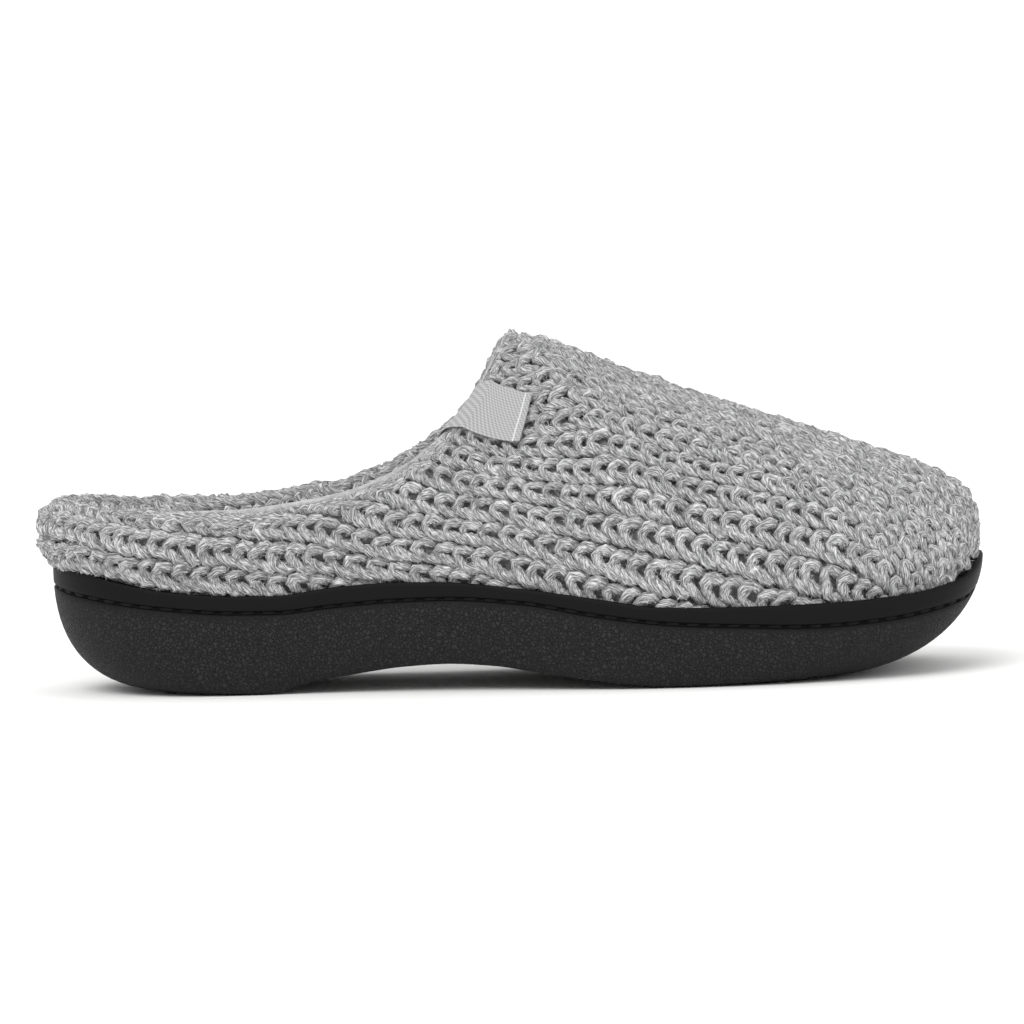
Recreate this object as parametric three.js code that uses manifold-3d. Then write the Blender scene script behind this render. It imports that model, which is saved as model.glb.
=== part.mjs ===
import * as THREE from 'three';
import { mergeVertices } from 'three/addons/utils/BufferGeometryUtils.js';
import Module from 'manifold-3d';

// Driving sizes, in millimetres. Toe towards +X, outer side towards -Y, floor at z = 0.
const soleLength = 258;
const ballWidth = 96;
const heelWidth = 67;
const soleHeight = 30;
const throatHeight = 95.5;
const heelHeight = 53;
const upperWall = 5;
const heelRoll = 7.5;
const lipWidth = 2.2;
const lipBevel = 0.4;
const channelDepth = 0.8;
const channelWidth = 1.4;
const insoleThickness = 5;
const insoleRound = 1.5;
const treadDepth = 1.2;
const treadGap = 2.2;
const labelThickness = 0.8;
const labelLift = 0.6;
const toeBend = 5;
const fitGap = 0.3;

// How finely each form is divided
const stationCount = 40;
const throatStation = 24;
const sidewallSteps = 7;
const outerSteps = 12;
const rollSteps = 6;
const innerSteps = 8;
const labelAcross = 6;
const labelAlong = 12;

// Plan of the sole: half widths at shares of its length, in shares of the ball's width
const planRows = [
  { at: 0.0, outer: 0.349, inner: 0.349 },
  { at: 0.12, outer: 0.349, inner: 0.349 },
  { at: 0.25, outer: 0.36, inner: 0.345 },
  { at: 0.38, outer: 0.39, inner: 0.335 },
  { at: 0.5, outer: 0.437, inner: 0.355 },
  { at: 0.6, outer: 0.485, inner: 0.41 },
  { at: 0.68, outer: 0.51, inner: 0.46 },
  { at: 0.75, outer: 0.51, inner: 0.488 },
  { at: 0.84, outer: 0.495, inner: 0.49 },
  { at: 1.0, outer: 0.46, inner: 0.475 },
];
const heelEnd = { reach: 0.14, fullness: 2.1 };
const toeEnd = { reach: 0.25, fullness: 2.6 };

// Sole's side, at shares of the way round from heel to toe, in shares of the sole's height
const sideRows = [
  { at: 0.0, lip: 1.157, channel: 0.985 },
  { at: 0.111, lip: 1.137, channel: 0.927 },
  { at: 0.17, lip: 1.06, channel: 0.87 },
  { at: 0.225, lip: 0.973, channel: 0.812 },
  { at: 0.295, lip: 0.91, channel: 0.757 },
  { at: 0.326, lip: 0.907, channel: 0.754 },
  { at: 0.369, lip: 0.97, channel: 0.803 },
  { at: 0.417, lip: 1.007, channel: 0.845 },
  { at: 0.449, lip: 1.0, channel: 0.853 },
  { at: 0.5, lip: 0.93, channel: 0.805 },
  { at: 0.551, lip: 0.827, channel: 0.68 },
  { at: 0.597, lip: 0.738, channel: 0.597 },
  { at: 0.645, lip: 0.723, channel: 0.557 },
  { at: 0.722, lip: 0.727, channel: 0.523 },
  { at: 0.795, lip: 0.753, channel: 0.557 },
  { at: 0.856, lip: 0.8, channel: 0.617 },
  { at: 0.909, lip: 0.873, channel: 0.673 },
  { at: 1.0, lip: 1.035, channel: 0.767 },
];

// How full the sole's lower edge is rounded, round from heel to toe
const edgeRows = [
  { at: 0.0, fullness: 2.5 },
  { at: 0.3, fullness: 2.5 },
  { at: 0.7, fullness: 2.4 },
  { at: 1.0, fullness: 1.85 },
];

// Top of the cup's floor and underside, at shares of the length, in shares of the height
const seatRows = [
  { at: 0.0, seat: 0.95 },
  { at: 0.03, seat: 0.85 },
  { at: 0.07, seat: 0.773 },
  { at: 0.12, seat: 0.73 },
  { at: 0.2, seat: 0.707 },
  { at: 0.3, seat: 0.713 },
  { at: 0.4, seat: 0.707 },
  { at: 0.5, seat: 0.647 },
  { at: 0.58, seat: 0.567 },
  { at: 0.65, seat: 0.52 },
  { at: 0.72, seat: 0.507 },
  { at: 0.82, seat: 0.513 },
  { at: 0.9, seat: 0.573 },
  { at: 0.95, seat: 0.66 },
  { at: 1.0, seat: 0.93 },
];
const underRows = [
  { at: 0.0, under: 0 },
  { at: 0.235, under: 0 },
  { at: 0.275, under: 0.09 },
  { at: 0.327, under: 0.165 },
  { at: 0.376, under: 0.22 },
  { at: 0.424, under: 0.24 },
  { at: 0.472, under: 0.215 },
  { at: 0.52, under: 0.147 },
  { at: 0.569, under: 0.08 },
  { at: 0.617, under: 0.027 },
  { at: 0.65, under: 0 },
  { at: 1.0, under: 0 },
];
const tread = { start: 0.125, end: 0.845, narrow: 0.87 };

// Bars across the tread: where each gap lies, in shares of the length
const treadGaps = [0.145, 0.22, 0.5, 0.54, 0.58, 0.62, 0.66, 0.74, 0.775, 0.81];

// Collar's crest, from the heel's back to beside the throat. along: share of the length,
// side: share of the heel's width, climb: share of the rise from heel to throat,
// tilt: how far the wall's outer face has turned up, roll: share of the heel's roll
const collarRows = [
  { at: 0.0, along: 0.0147, side: 0.0, climb: 0.0, tilt: 0, roll: 1.0 },
  { at: 0.1, along: 0.036, side: 0.239, climb: -0.01, tilt: 0, roll: 1.0 },
  { at: 0.2, along: 0.0992, side: 0.403, climb: -0.05, tilt: 0, roll: 0.96 },
  { at: 0.3, along: 0.198, side: 0.44, climb: -0.05, tilt: 0, roll: 0.92 },
  { at: 0.35, along: 0.254, side: 0.446, climb: -0.015, tilt: 2, roll: 0.86 },
  { at: 0.4, along: 0.317, side: 0.446, climb: 0.052, tilt: 4, roll: 0.77 },
  { at: 0.45, along: 0.38, side: 0.41, climb: 0.205, tilt: 14, roll: 0.62 },
  { at: 0.5, along: 0.434, side: 0.333, climb: 0.458, tilt: 32, roll: 0.47 },
  { at: 0.525, along: 0.4547, side: 0.276, climb: 0.6, tilt: 44, roll: 0.41 },
  { at: 0.55, along: 0.4695, side: 0.2015, climb: 0.765, tilt: 58, roll: 0.365 },
  { at: 0.575, along: 0.482, side: 0.1, climb: 0.904, tilt: 74, roll: 0.34 },
];
const throatTilt = 82;

// Ridge of the vamp: how far along it lies for each station, and its height
const ridgeRows = [
  { at: 0.6, along: 0.4985 },
  { at: 0.65, along: 0.566 },
  { at: 0.7, along: 0.634 },
  { at: 0.75, along: 0.706 },
  { at: 0.8, along: 0.779 },
  { at: 0.85, along: 0.845 },
  { at: 0.9, along: 0.898 },
  { at: 0.95, along: 0.933 },
  { at: 1.0, along: 0.95 },
];
const ridgeHeights = [
  { at: 0.4985, height: 1.0 },
  { at: 0.53, height: 0.993 },
  { at: 0.562, height: 0.96 },
  { at: 0.594, height: 0.923 },
  { at: 0.658, height: 0.854 },
  { at: 0.722, height: 0.793 },
  { at: 0.786, height: 0.731 },
  { at: 0.85, height: 0.672 },
  { at: 0.914, height: 0.612 },
  { at: 0.95, height: 0.572 },
];

// Shape of the upper's wall at each station, in shares of the ball's width. bulge and rise
// lead it away from the sole, reach leads it into the collar or the ridge. lean is how much
// of its slant along the shoe it keeps there.
const wallRows = [
  { at: 0.0, bulge: 0.062, rise: 0.016, reach: 0.052, lean: 1 },
  { at: 0.15, bulge: 0.055, rise: 0.03, reach: 0.052, lean: 1 },
  { at: 0.3, bulge: 0.042, rise: 0.062, reach: 0.052, lean: 1 },
  { at: 0.4, bulge: 0.03, rise: 0.1, reach: 0.08, lean: 0.8 },
  { at: 0.5, bulge: 0.025, rise: 0.2, reach: 0.15, lean: 0.6 },
  { at: 0.55, bulge: 0.026, rise: 0.26, reach: 0.18, lean: 0.6 },
  { at: 0.6, bulge: 0.028, rise: 0.3, reach: 0.21, lean: 0.5 },
  { at: 0.65, bulge: 0.03, rise: 0.3, reach: 0.23, lean: 0.2 },
  { at: 0.7, bulge: 0.032, rise: 0.28, reach: 0.25, lean: 0 },
  { at: 0.8, bulge: 0.036, rise: 0.21, reach: 0.24, lean: 0.2 },
  { at: 0.9, bulge: 0.04, rise: 0.15, reach: 0.17, lean: 0.6 },
  { at: 1.0, bulge: 0.05, rise: 0.116, reach: 0.1, lean: 1 },
];
const liningBulge = 0.3;
const liningReach = 0.88;

// Corners of the ribbon on the outer side: station share, and the way down from the wall's top
// in shares of the throat's height. Below zero it goes over the collar's edge to the inside.
const labelCorners = {
  insideLow: { station: 0.479, drop: -0.109 },
  insideHigh: { station: 0.529, drop: -0.089 },
  outsideLow: { station: 0.54, drop: 0.217 },
  outsideHigh: { station: 0.57, drop: 0.202 },
};
const labelWalk = 24;

const halfTurn = Math.PI;
const stationStep = 1 / stationCount;
const throatShare = throatStation * stationStep;
const degrees = (angle) => (angle * Math.PI) / 180;
const mix = (from, to, share) => from + (to - from) * share;
const easeIn = (share) => {
  const inside = Math.min(Math.max(share, 0), 1);
  return inside * inside * (3 - 2 * inside);
};

// A smooth line through a column of a table, without overshoot between its rows
function through(rows, column, ends = {}) {
  const last = rows.length - 1;
  const gap = (row) => rows[row + 1].at - rows[row].at;
  const slope = (row) => (rows[row + 1][column] - rows[row][column]) / gap(row);
  const lean = rows.map((row, index) => {
    if (index === 0) return ends.start === 'flat' ? 0 : slope(0);
    if (index === last) return ends.end === 'flat' ? 0 : slope(last - 1);
    const before = slope(index - 1);
    const after = slope(index);
    if (before * after <= 0) return 0;
    const weightBefore = 2 * gap(index) + gap(index - 1);
    const weightAfter = gap(index) + 2 * gap(index - 1);
    return (weightBefore + weightAfter) / (weightBefore / before + weightAfter / after);
  });
  return (at) => {
    let row = 0;
    while (row < last - 1 && at > rows[row + 1].at) row += 1;
    const width = gap(row);
    const share = Math.min(Math.max((at - rows[row].at) / width, 0), 1);
    const square = share * share;
    const cube = square * share;
    return (2 * cube - 3 * square + 1) * rows[row][column]
      + (cube - 2 * square + share) * width * lean[row]
      + (3 * square - 2 * cube) * rows[row + 1][column]
      + (cube - square) * width * lean[row + 1];
  };
}

const flatEnds = { start: 'flat', end: 'flat' };
const planOuter = through(planRows, 'outer');
const planInner = through(planRows, 'inner');
const lipLine = through(sideRows, 'lip', flatEnds);
const channelLine = through(sideRows, 'channel', flatEnds);
const edgeFullness = through(edgeRows, 'fullness', flatEnds);
const seatLine = through(seatRows, 'seat');
const underLine = through(underRows, 'under');
const ridgeAlong = through(ridgeRows, 'along', { end: 'flat' });
const ridgeLine = through(ridgeHeights, 'height', { start: 'flat' });
const wallShape = {
  bulge: through(wallRows, 'bulge', flatEnds),
  rise: through(wallRows, 'rise', flatEnds),
  reach: through(wallRows, 'reach', flatEnds),
  lean: through(wallRows, 'lean', flatEnds),
};

// Stations crowd together at the heel and the toe, where the outline turns
const alongAt = (share) => (soleLength * (1 - Math.cos(halfTurn * share))) / 2;

// Half width of the sole on one side, measured outwards
function halfWidth(side, along) {
  const share = along / soleLength;
  const plan = side < 0 ? planOuter(share) : planInner(share);
  const heelWay = Math.max(0, 1 - share / heelEnd.reach);
  const toeWay = Math.max(0, 1 - (1 - share) / toeEnd.reach);
  const heelTurn = Math.max(0, 1 - heelWay ** heelEnd.fullness) ** (1 / heelEnd.fullness);
  const toeTurn = Math.max(0, 1 - toeWay ** toeEnd.fullness) ** (1 / toeEnd.fullness);
  const wide = plan * ballWidth * toeTurn;
  const narrow = plan * (heelWidth / planRows[0].outer / 2) * heelTurn;
  return mix(narrow * toeTurn, wide * heelTurn, easeIn((share - 0.2) / 0.4));
}

const edgePoint = (side, share) => {
  const along = alongAt(share);
  return new THREE.Vector2(along, halfWidth(side, along));
};

// Outward direction of the sole's edge in plan; y counts outwards on both sides
function edgeNormal(side, share) {
  if (share <= 0) return new THREE.Vector2(-1, 0);
  if (share >= 1) return new THREE.Vector2(1, 0);
  const nudge = stationStep / 4;
  const before = edgePoint(side, Math.max(share - nudge, 0));
  const after = edgePoint(side, Math.min(share + nudge, 1));
  const way = after.sub(before).normalize();
  return new THREE.Vector2(-way.y, way.x);
}

const insetPoint = (side, share, inset) => {
  const normal = edgeNormal(side, share);
  return edgePoint(side, share).addScaledVector(normal, -inset);
};
const seatHeight = (along) => soleHeight * seatLine(along / soleLength);
const underHeight = (along) => soleHeight * underLine(along / soleLength);
const lipHeight = (share) => soleHeight * lipLine(share);

// Crest of the collar. Beyond either end it carries on as its own mirror image.
const throatRidge = new THREE.Vector3(ridgeRows[0].along * soleLength, 0, throatHeight);
const throatTurn = degrees(throatTilt);
const throatCrest = new THREE.Vector3(
  throatRidge.x - (upperWall / 2) * (Math.cos(throatTurn) + Math.sin(throatTurn)),
  0,
  throatRidge.z - (upperWall / 2) * (Math.sin(throatTurn) - Math.cos(throatTurn)),
);
const collarTable = [...collarRows, {
  at: throatShare,
  along: throatCrest.x / soleLength,
  side: 0,
  climb: (throatCrest.z - heelHeight) / (throatHeight - heelHeight),
  tilt: throatTilt,
  roll: upperWall / 2 / heelRoll,
}];
const collar = {
  along: through(collarTable, 'along', flatEnds),
  side: through(collarTable, 'side'),
  climb: through(collarTable, 'climb', flatEnds),
  tilt: through(collarTable, 'tilt', flatEnds),
  roll: through(collarTable, 'roll', flatEnds),
};
function crestPoint(share) {
  const past = share > throatShare;
  const inside = past ? 2 * throatShare - share : Math.abs(share);
  const sign = past || share < 0 ? -1 : 1;
  return new THREE.Vector3(
    collar.along(inside) * soleLength,
    sign * collar.side(inside) * heelWidth,
    mix(heelHeight, throatHeight, collar.climb(inside)),
  );
}

// Centre, radius and directions of the rolled collar edge at one station
function collarFrame(share) {
  const nudge = stationStep / 4;
  const way = crestPoint(share + nudge).sub(crestPoint(share - nudge)).normalize();
  const level = new THREE.Vector3(-way.y, way.x, 0).normalize();
  const steep = new THREE.Vector3().crossVectors(way, level);
  const turn = degrees(collar.tilt(share));
  const out = level.clone().multiplyScalar(Math.cos(turn)).addScaledVector(steep, Math.sin(turn));
  const up = steep.clone().multiplyScalar(Math.cos(turn)).addScaledVector(level, -Math.sin(turn));
  const radius = heelRoll * collar.roll(share);
  const centre = crestPoint(share).addScaledVector(up, -radius);
  return { centre, radius, out, up };
}

// Ridge point and the direction its wall faces
function ridgeFrame(share) {
  const height = (along) => throatHeight * ridgeLine(along / soleLength);
  const along = ridgeAlong(share) * soleLength;
  const step = soleLength * 0.004;
  const behind = Math.max(along - step, throatRidge.x);
  const ahead = Math.min(along + step, ridgeHeights[ridgeHeights.length - 1].at * soleLength);
  const way = new THREE.Vector3(ahead - behind, 0, height(ahead) - height(behind)).normalize();
  const out = new THREE.Vector3(-way.z, 0, way.x);
  return { point: new THREE.Vector3(along, 0, height(along)), out };
}

// Control points of the wall at one station, for the outer face or the lining
function wallCurve(side, share, lining) {
  const normal = edgeNormal(side, share);
  const inset = lipWidth + fitGap + (lining ? upperWall : 0);
  const foot = insetPoint(side, share, inset);
  const start = new THREE.Vector3(foot.x, foot.y, lipHeight(share) + fitGap);
  const bulge = wallShape.bulge(share) * ballWidth * (lining ? liningBulge : 1);
  const rise = wallShape.rise(share) * ballWidth;
  const reach = wallShape.reach(share) * ballWidth * (lining ? liningReach : 1);
  const leave = new THREE.Vector3(normal.x * bulge, normal.y * bulge, rise).add(start);
  const atCollar = share < throatShare;
  const frame = atCollar ? collarFrame(share) : ridgeFrame(share);
  const depth = lining ? -1 : 1;
  const end = atCollar
    ? frame.centre.clone().addScaledVector(frame.out, depth * frame.radius)
    : frame.point.clone().addScaledVector(frame.out, lining ? -upperWall : 0);
  const climb = end.clone().sub(start);
  climb.x *= wallShape.lean(share);
  const arrive = climb.projectOnPlane(frame.out).normalize();
  const approach = end.clone().addScaledVector(arrive, -reach);
  return { start, leave, approach, end };
}

function onCurve(curve, share) {
  const rest = 1 - share;
  return new THREE.Vector3()
    .addScaledVector(curve.start, rest ** 3)
    .addScaledVector(curve.leave, 3 * rest * rest * share)
    .addScaledVector(curve.approach, 3 * rest * share * share)
    .addScaledVector(curve.end, share ** 3);
}

const collarArc = (share, part) => {
  const frame = collarFrame(share);
  const angle = halfTurn * part;
  return frame.centre
    .addScaledVector(frame.out, frame.radius * Math.cos(angle))
    .addScaledVector(frame.up, frame.radius * Math.sin(angle));
};

// Gives a point its side and the last's inward bend towards the toe
function place(side, point) {
  const bend = toeBend * easeIn((point.x / soleLength - 0.45) / 0.75) * 1.4;
  return new THREE.Vector3(point.x, side * point.y + bend, point.z);
}

// Collects faces; quads run anticlockwise as seen from outside
class Skin {
  constructor() {
    this.corners = [];
  }

  triangle(a, b, c) {
    const area = new THREE.Vector3().crossVectors(b.clone().sub(a), c.clone().sub(a)).length();
    if (area < 1e-7) return;
    for (const corner of [a, b, c]) this.corners.push(corner.x, corner.y, corner.z);
  }

  quad(a, b, c, d) {
    this.triangle(a, b, c);
    this.triangle(a, c, d);
  }

  // Joins neighbouring rows of points, each row as long as the next
  strip(rows, flip) {
    for (let row = 0; row + 1 < rows.length; row += 1) {
      for (let spot = 0; spot + 1 < rows[row].length; spot += 1) {
        const [a, b] = [rows[row][spot], rows[row][spot + 1]];
        const [c, d] = [rows[row + 1][spot + 1], rows[row + 1][spot]];
        if (flip) this.quad(a, d, c, b);
        else this.quad(a, b, c, d);
      }
    }
  }

  geometry() {
    const shape = new THREE.BufferGeometry();
    shape.setAttribute('position', new THREE.Float32BufferAttribute(this.corners, 3));
    return mergeVertices(shape, 1e-4);
  }
}

const stations = Array.from({ length: stationCount + 1 }, (none, index) => index * stationStep);
const sides = [-1, 1];

// A body made of rings at every station, closed below and above across its width
function ringBody(ringPoints) {
  const skin = new Skin();
  const columns = sides.map((side) => stations.map((share) => (
    ringPoints(side, share).map((point) => place(side, point))
  )));
  columns.forEach((column, index) => skin.strip(column, index === 0));
  const bottoms = columns.map((column) => column.map((points) => points[0]));
  const tops = columns.map((column) => column.map((points) => points[points.length - 1]));
  skin.strip(bottoms, true);
  skin.strip(tops, false);
  return skin.geometry();
}

// Cupsole: contact patch, rounded side, stitch channel, rim, lip and cup
function soleColumn(side, share) {
  const rim = edgePoint(side, share);
  const normal = edgeNormal(side, share);
  const lip = lipHeight(share);
  const channel = soleHeight * channelLine(share);
  const patchAlong = soleLength * mix(tread.start, tread.end, rim.x / soleLength);
  const patch = new THREE.Vector2(patchAlong, rim.y * tread.narrow);
  const base = underHeight(patchAlong);
  const fullness = edgeFullness(share);
  const onSide = (height, inset) => {
    const drop = Math.max((lip - height) / (lip - base), 0);
    const spread = Math.max(1 - drop ** fullness, 0) ** (1 / fullness);
    return new THREE.Vector3(
      mix(patch.x, rim.x, spread) - normal.x * inset,
      mix(patch.y, rim.y, spread) - normal.y * inset,
      height,
    );
  };
  const lower = channel - channelWidth / 2;
  const upper = channel + channelWidth / 2;
  const startTurn = Math.asin(((lip - lower) / (lip - base)) ** (fullness / 2));
  const points = [];
  for (let step = 0; step <= sidewallSteps; step += 1) {
    const turn = mix(halfTurn / 2, startTurn, step / sidewallSteps);
    const drop = Math.sin(turn) ** (2 / fullness);
    points.push(onSide(mix(lip, base, drop), 0));
  }
  points[0] = new THREE.Vector3(patch.x, patch.y, base);
  points.push(onSide(lower, channelDepth), onSide(upper, channelDepth), onSide(upper, 0));
  points.push(onSide(lip - lipBevel, 0));
  const top = insetPoint(side, share, lipBevel);
  const cup = insetPoint(side, share, lipWidth);
  points.push(new THREE.Vector3(top.x, top.y, lip));
  points.push(new THREE.Vector3(cup.x, cup.y, lip));
  points.push(new THREE.Vector3(cup.x, cup.y, seatHeight(cup.x)));
  return points;
}

// Footbed, lying in the cup within the upper's lower edge
function insoleColumn(side, share) {
  const around = lipWidth + upperWall + 2 * fitGap;
  const foot = insetPoint(side, share, around);
  const brow = insetPoint(side, share, around + insoleRound);
  const low = seatHeight(foot.x) + fitGap;
  const high = seatHeight(brow.x) + fitGap + insoleThickness;
  return [
    new THREE.Vector3(foot.x, foot.y, low),
    new THREE.Vector3(foot.x, foot.y, low + insoleThickness - insoleRound),
    new THREE.Vector3(brow.x, brow.y, high),
  ];
}

// Upper: outer face, rolled collar edge, lining and lower edge
function upperShell() {
  const skin = new Skin();
  for (const side of sides) {
    const faces = (lining, steps) => stations.map((share) => {
      const curve = wallCurve(side, share, lining);
      const floor = curve.start.clone();
      floor.z = seatHeight(floor.x) + fitGap;
      const points = [place(side, floor)];
      for (let step = 0; step <= steps; step += 1) {
        points.push(place(side, onCurve(curve, step / steps)));
      }
      return points;
    });
    const flip = side < 0;
    const outer = faces(false, outerSteps);
    const lining = faces(true, innerSteps);
    const edge = stations.map((share, index) => [lining[index][0], outer[index][0]]);
    const roll = stations.slice(0, throatStation + 1).map((share, index) => {
      const points = [outer[index][outerSteps + 1]];
      for (let step = 1; step < rollSteps; step += 1) {
        points.push(place(side, collarArc(share, step / rollSteps)));
      }
      points.push(lining[index][innerSteps + 1]);
      return points;
    });
    skin.strip(outer, flip);
    skin.strip(lining, !flip);
    skin.strip(edge, flip);
    skin.strip(roll, flip);
  }
  return skin.geometry();
}

// A spot on the outer side, some way down from the wall's top, or over the collar's edge
const wallPoint = (share, drop) => {
  if (drop < 0) {
    const round = halfTurn * collarFrame(share).radius;
    return place(-1, collarArc(share, Math.min(-drop / round, 1)));
  }
  const curve = wallCurve(-1, share, false);
  const spots = Array.from({ length: labelWalk + 1 }, (none, step) => (
    onCurve(curve, 1 - step / labelWalk)
  ));
  let left = drop;
  let step = 0;
  while (step < labelWalk - 1 && spots[step].distanceTo(spots[step + 1]) < left) {
    left -= spots[step].distanceTo(spots[step + 1]);
    step += 1;
  }
  const part = left / spots[step].distanceTo(spots[step + 1]);
  return place(-1, onCurve(curve, 1 - (step + part) / labelWalk));
};

// Ribbon laid on the wall and folded over the collar's edge
function labelTab() {
  const skin = new Skin();
  const nudge = 1e-3;
  const spot = (across, along, lift) => {
    const low = labelCorners.insideLow;
    const high = labelCorners.insideHigh;
    const share = mix(
      mix(low.station, high.station, across),
      mix(labelCorners.outsideLow.station, labelCorners.outsideHigh.station, across),
      along,
    );
    const drop = throatHeight * mix(
      mix(low.drop, high.drop, across),
      mix(labelCorners.outsideLow.drop, labelCorners.outsideHigh.drop, across),
      along,
    );
    const ahead = wallPoint(share + nudge, drop).sub(wallPoint(share - nudge, drop));
    const above = wallPoint(share, drop - fitGap).sub(wallPoint(share, drop + fitGap));
    const normal = new THREE.Vector3().crossVectors(ahead, above).normalize();
    return wallPoint(share, drop).addScaledVector(normal, lift);
  };
  const layer = (lift) => Array.from({ length: labelAlong + 1 }, (none, row) => (
    Array.from({ length: labelAcross + 1 }, (blank, column) => (
      spot(column / labelAcross, row / labelAlong, lift)
    ))
  ));
  const under = layer(labelLift);
  const over = layer(labelLift + labelThickness);
  const rims = (rows) => [
    ...rows[0].slice(0, -1),
    ...rows.slice(0, -1).map((row) => row[labelAcross]),
    ...rows[labelAlong].slice(1).reverse(),
    ...rows.slice(1).reverse().map((row) => row[0]),
    rows[0][0],
  ];
  skin.strip(under, false);
  skin.strip(over, true);
  skin.strip([rims(under), rims(over)], true);
  return skin.geometry();
}

// Solids for joining and cutting
const { Manifold, Mesh } = await (async () => {
  const kernel = await Module();
  kernel.setup();
  return kernel;
})();
function toSolid(shape) {
  const welded = mergeVertices(shape, 1e-4);
  return new Manifold(new Mesh({
    numProp: 3,
    vertProperties: Float32Array.from(welded.getAttribute('position').array),
    triVerts: Uint32Array.from(welded.index.array),
  }));
}
function fromSolid(solid) {
  const mesh = solid.getMesh();
  const shape = new THREE.BufferGeometry();
  const count = mesh.numProp;
  const spots = [];
  for (let row = 0; row < mesh.vertProperties.length; row += count) {
    spots.push(...mesh.vertProperties.slice(row, row + 3));
  }
  shape.setAttribute('position', new THREE.Float32BufferAttribute(spots, 3));
  shape.setIndex(Array.from(mesh.triVerts));
  return shape;
}

// Straight gaps between the bars of the tread
function treadCut(share) {
  const box = new THREE.BoxGeometry(treadGap, ballWidth * 2, treadDepth * 2);
  box.deleteAttribute('normal');
  box.deleteAttribute('uv');
  const along = share * soleLength;
  return toSolid(box.translate(along, 0, underHeight(along)));
}

const soleBlank = toSolid(ringBody(soleColumn));
const outsole = treadGaps.reduce((body, share) => body.subtract(treadCut(share)), soleBlank);

const finish = {
  rubber: { color: 0x26262a, roughness: 0.72, metalness: 0 },
  footbed: { color: 0xb9b7b4, roughness: 0.95, metalness: 0 },
  knit: { color: 0x8f9092, roughness: 0.95, metalness: 0 },
  ribbon: { color: 0xb4b4b6, roughness: 0.85, metalness: 0 },
};
const slipper = new THREE.Group();
function add(name, shape, look) {
  shape.computeVertexNormals();
  const mesh = new THREE.Mesh(shape, new THREE.MeshStandardMaterial(look));
  mesh.name = name;
  slipper.add(mesh);
}
add('outsole', fromSolid(outsole), finish.rubber);
add('insole', ringBody(insoleColumn), finish.footbed);
add('upper', upperShell(), finish.knit);
add('label_tab', labelTab(), finish.ribbon);

// Origin at the middle of the footprint, on the floor
const bounds = new THREE.Box3().setFromObject(slipper);
const middle = bounds.getCenter(new THREE.Vector3());
slipper.children.forEach((mesh) => mesh.geometry.translate(-middle.x, -middle.y, -bounds.min.z));

export default slipper;
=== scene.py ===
import bpy
import bmesh
import math
import numpy as np
from mathutils import Matrix, Vector


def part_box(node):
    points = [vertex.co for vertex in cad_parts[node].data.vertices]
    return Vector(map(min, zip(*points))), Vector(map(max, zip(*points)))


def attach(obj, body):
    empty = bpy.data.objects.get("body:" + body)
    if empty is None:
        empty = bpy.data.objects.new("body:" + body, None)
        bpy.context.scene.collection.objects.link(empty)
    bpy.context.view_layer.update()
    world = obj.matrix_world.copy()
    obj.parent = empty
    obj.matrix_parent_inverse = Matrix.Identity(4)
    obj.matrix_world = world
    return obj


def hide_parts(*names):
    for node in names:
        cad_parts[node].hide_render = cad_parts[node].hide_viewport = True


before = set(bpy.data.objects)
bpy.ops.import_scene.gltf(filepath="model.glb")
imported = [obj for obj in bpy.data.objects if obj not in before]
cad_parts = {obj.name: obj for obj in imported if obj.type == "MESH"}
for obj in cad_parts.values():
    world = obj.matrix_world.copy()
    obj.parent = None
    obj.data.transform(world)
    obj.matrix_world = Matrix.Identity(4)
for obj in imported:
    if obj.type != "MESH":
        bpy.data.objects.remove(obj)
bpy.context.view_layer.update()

root = "root"

mm = 0.001

# sizes of the slipper in millimetres, the same as the solids have
size = {
    "soleLength": 258, "ballWidth": 96, "heelWidth": 67, "soleHeight": 30,
    "throatHeight": 95.5, "heelHeight": 53, "wall": 5, "heelRoll": 7.5,
    "lipWidth": 2.2, "lipBevel": 0.4, "footbedThick": 5, "footbedRound": 1.5,
    "gap": 0.3, "throatShare": 0.6, "throatTilt": 82, "nudge": 0.00625, "ridgeNudge": 0.004,
}
plan = {  # half widths of the sole, shares of the ball's width
    "at": [0, 0.12, 0.25, 0.38, 0.5, 0.6, 0.68, 0.75, 0.84, 1],
    "outer": [0.349, 0.349, 0.36, 0.39, 0.437, 0.485, 0.51, 0.51, 0.495, 0.46],
    "inner": [0.349, 0.349, 0.345, 0.335, 0.355, 0.41, 0.46, 0.488, 0.49, 0.475],
}
ends = {"heelReach": 0.14, "heelFull": 2.1, "toeReach": 0.25, "toeFull": 2.6}
bend = {"toe": 5, "gain": 1.4}  # the last's curve towards the inner side
easing = {  # where one rule goes over into the next: its start and its length
    "toBall": (0.2, 0.4), "lastBend": (0.45, 0.75), "byX": (0.12, 0.15), "settled": (0.66, 0.16),
    "offRoll": (0.42, 0.14), "rollDepth": (0.7, 0.3),
}
soleSide = {  # lip and stitch channel, shares of the sole's height
    "at": [0, 0.111, 0.17, 0.225, 0.295, 0.326, 0.369, 0.417, 0.449, 0.5, 0.551, 0.597,
           0.645, 0.722, 0.795, 0.856, 0.909, 1],
    "lip": [1.157, 1.137, 1.06, 0.973, 0.91, 0.907, 0.97, 1.007, 1, 0.93, 0.827, 0.738,
            0.723, 0.727, 0.753, 0.8, 0.873, 1.035],
    "channel": [0.985, 0.927, 0.87, 0.812, 0.757, 0.754, 0.803, 0.845, 0.853, 0.805, 0.68,
                0.597, 0.557, 0.523, 0.557, 0.617, 0.673, 0.767],
}
soleEdge = {"at": [0, 0.3, 0.7, 1], "full": [2.5, 2.5, 2.4, 1.85]}
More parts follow.
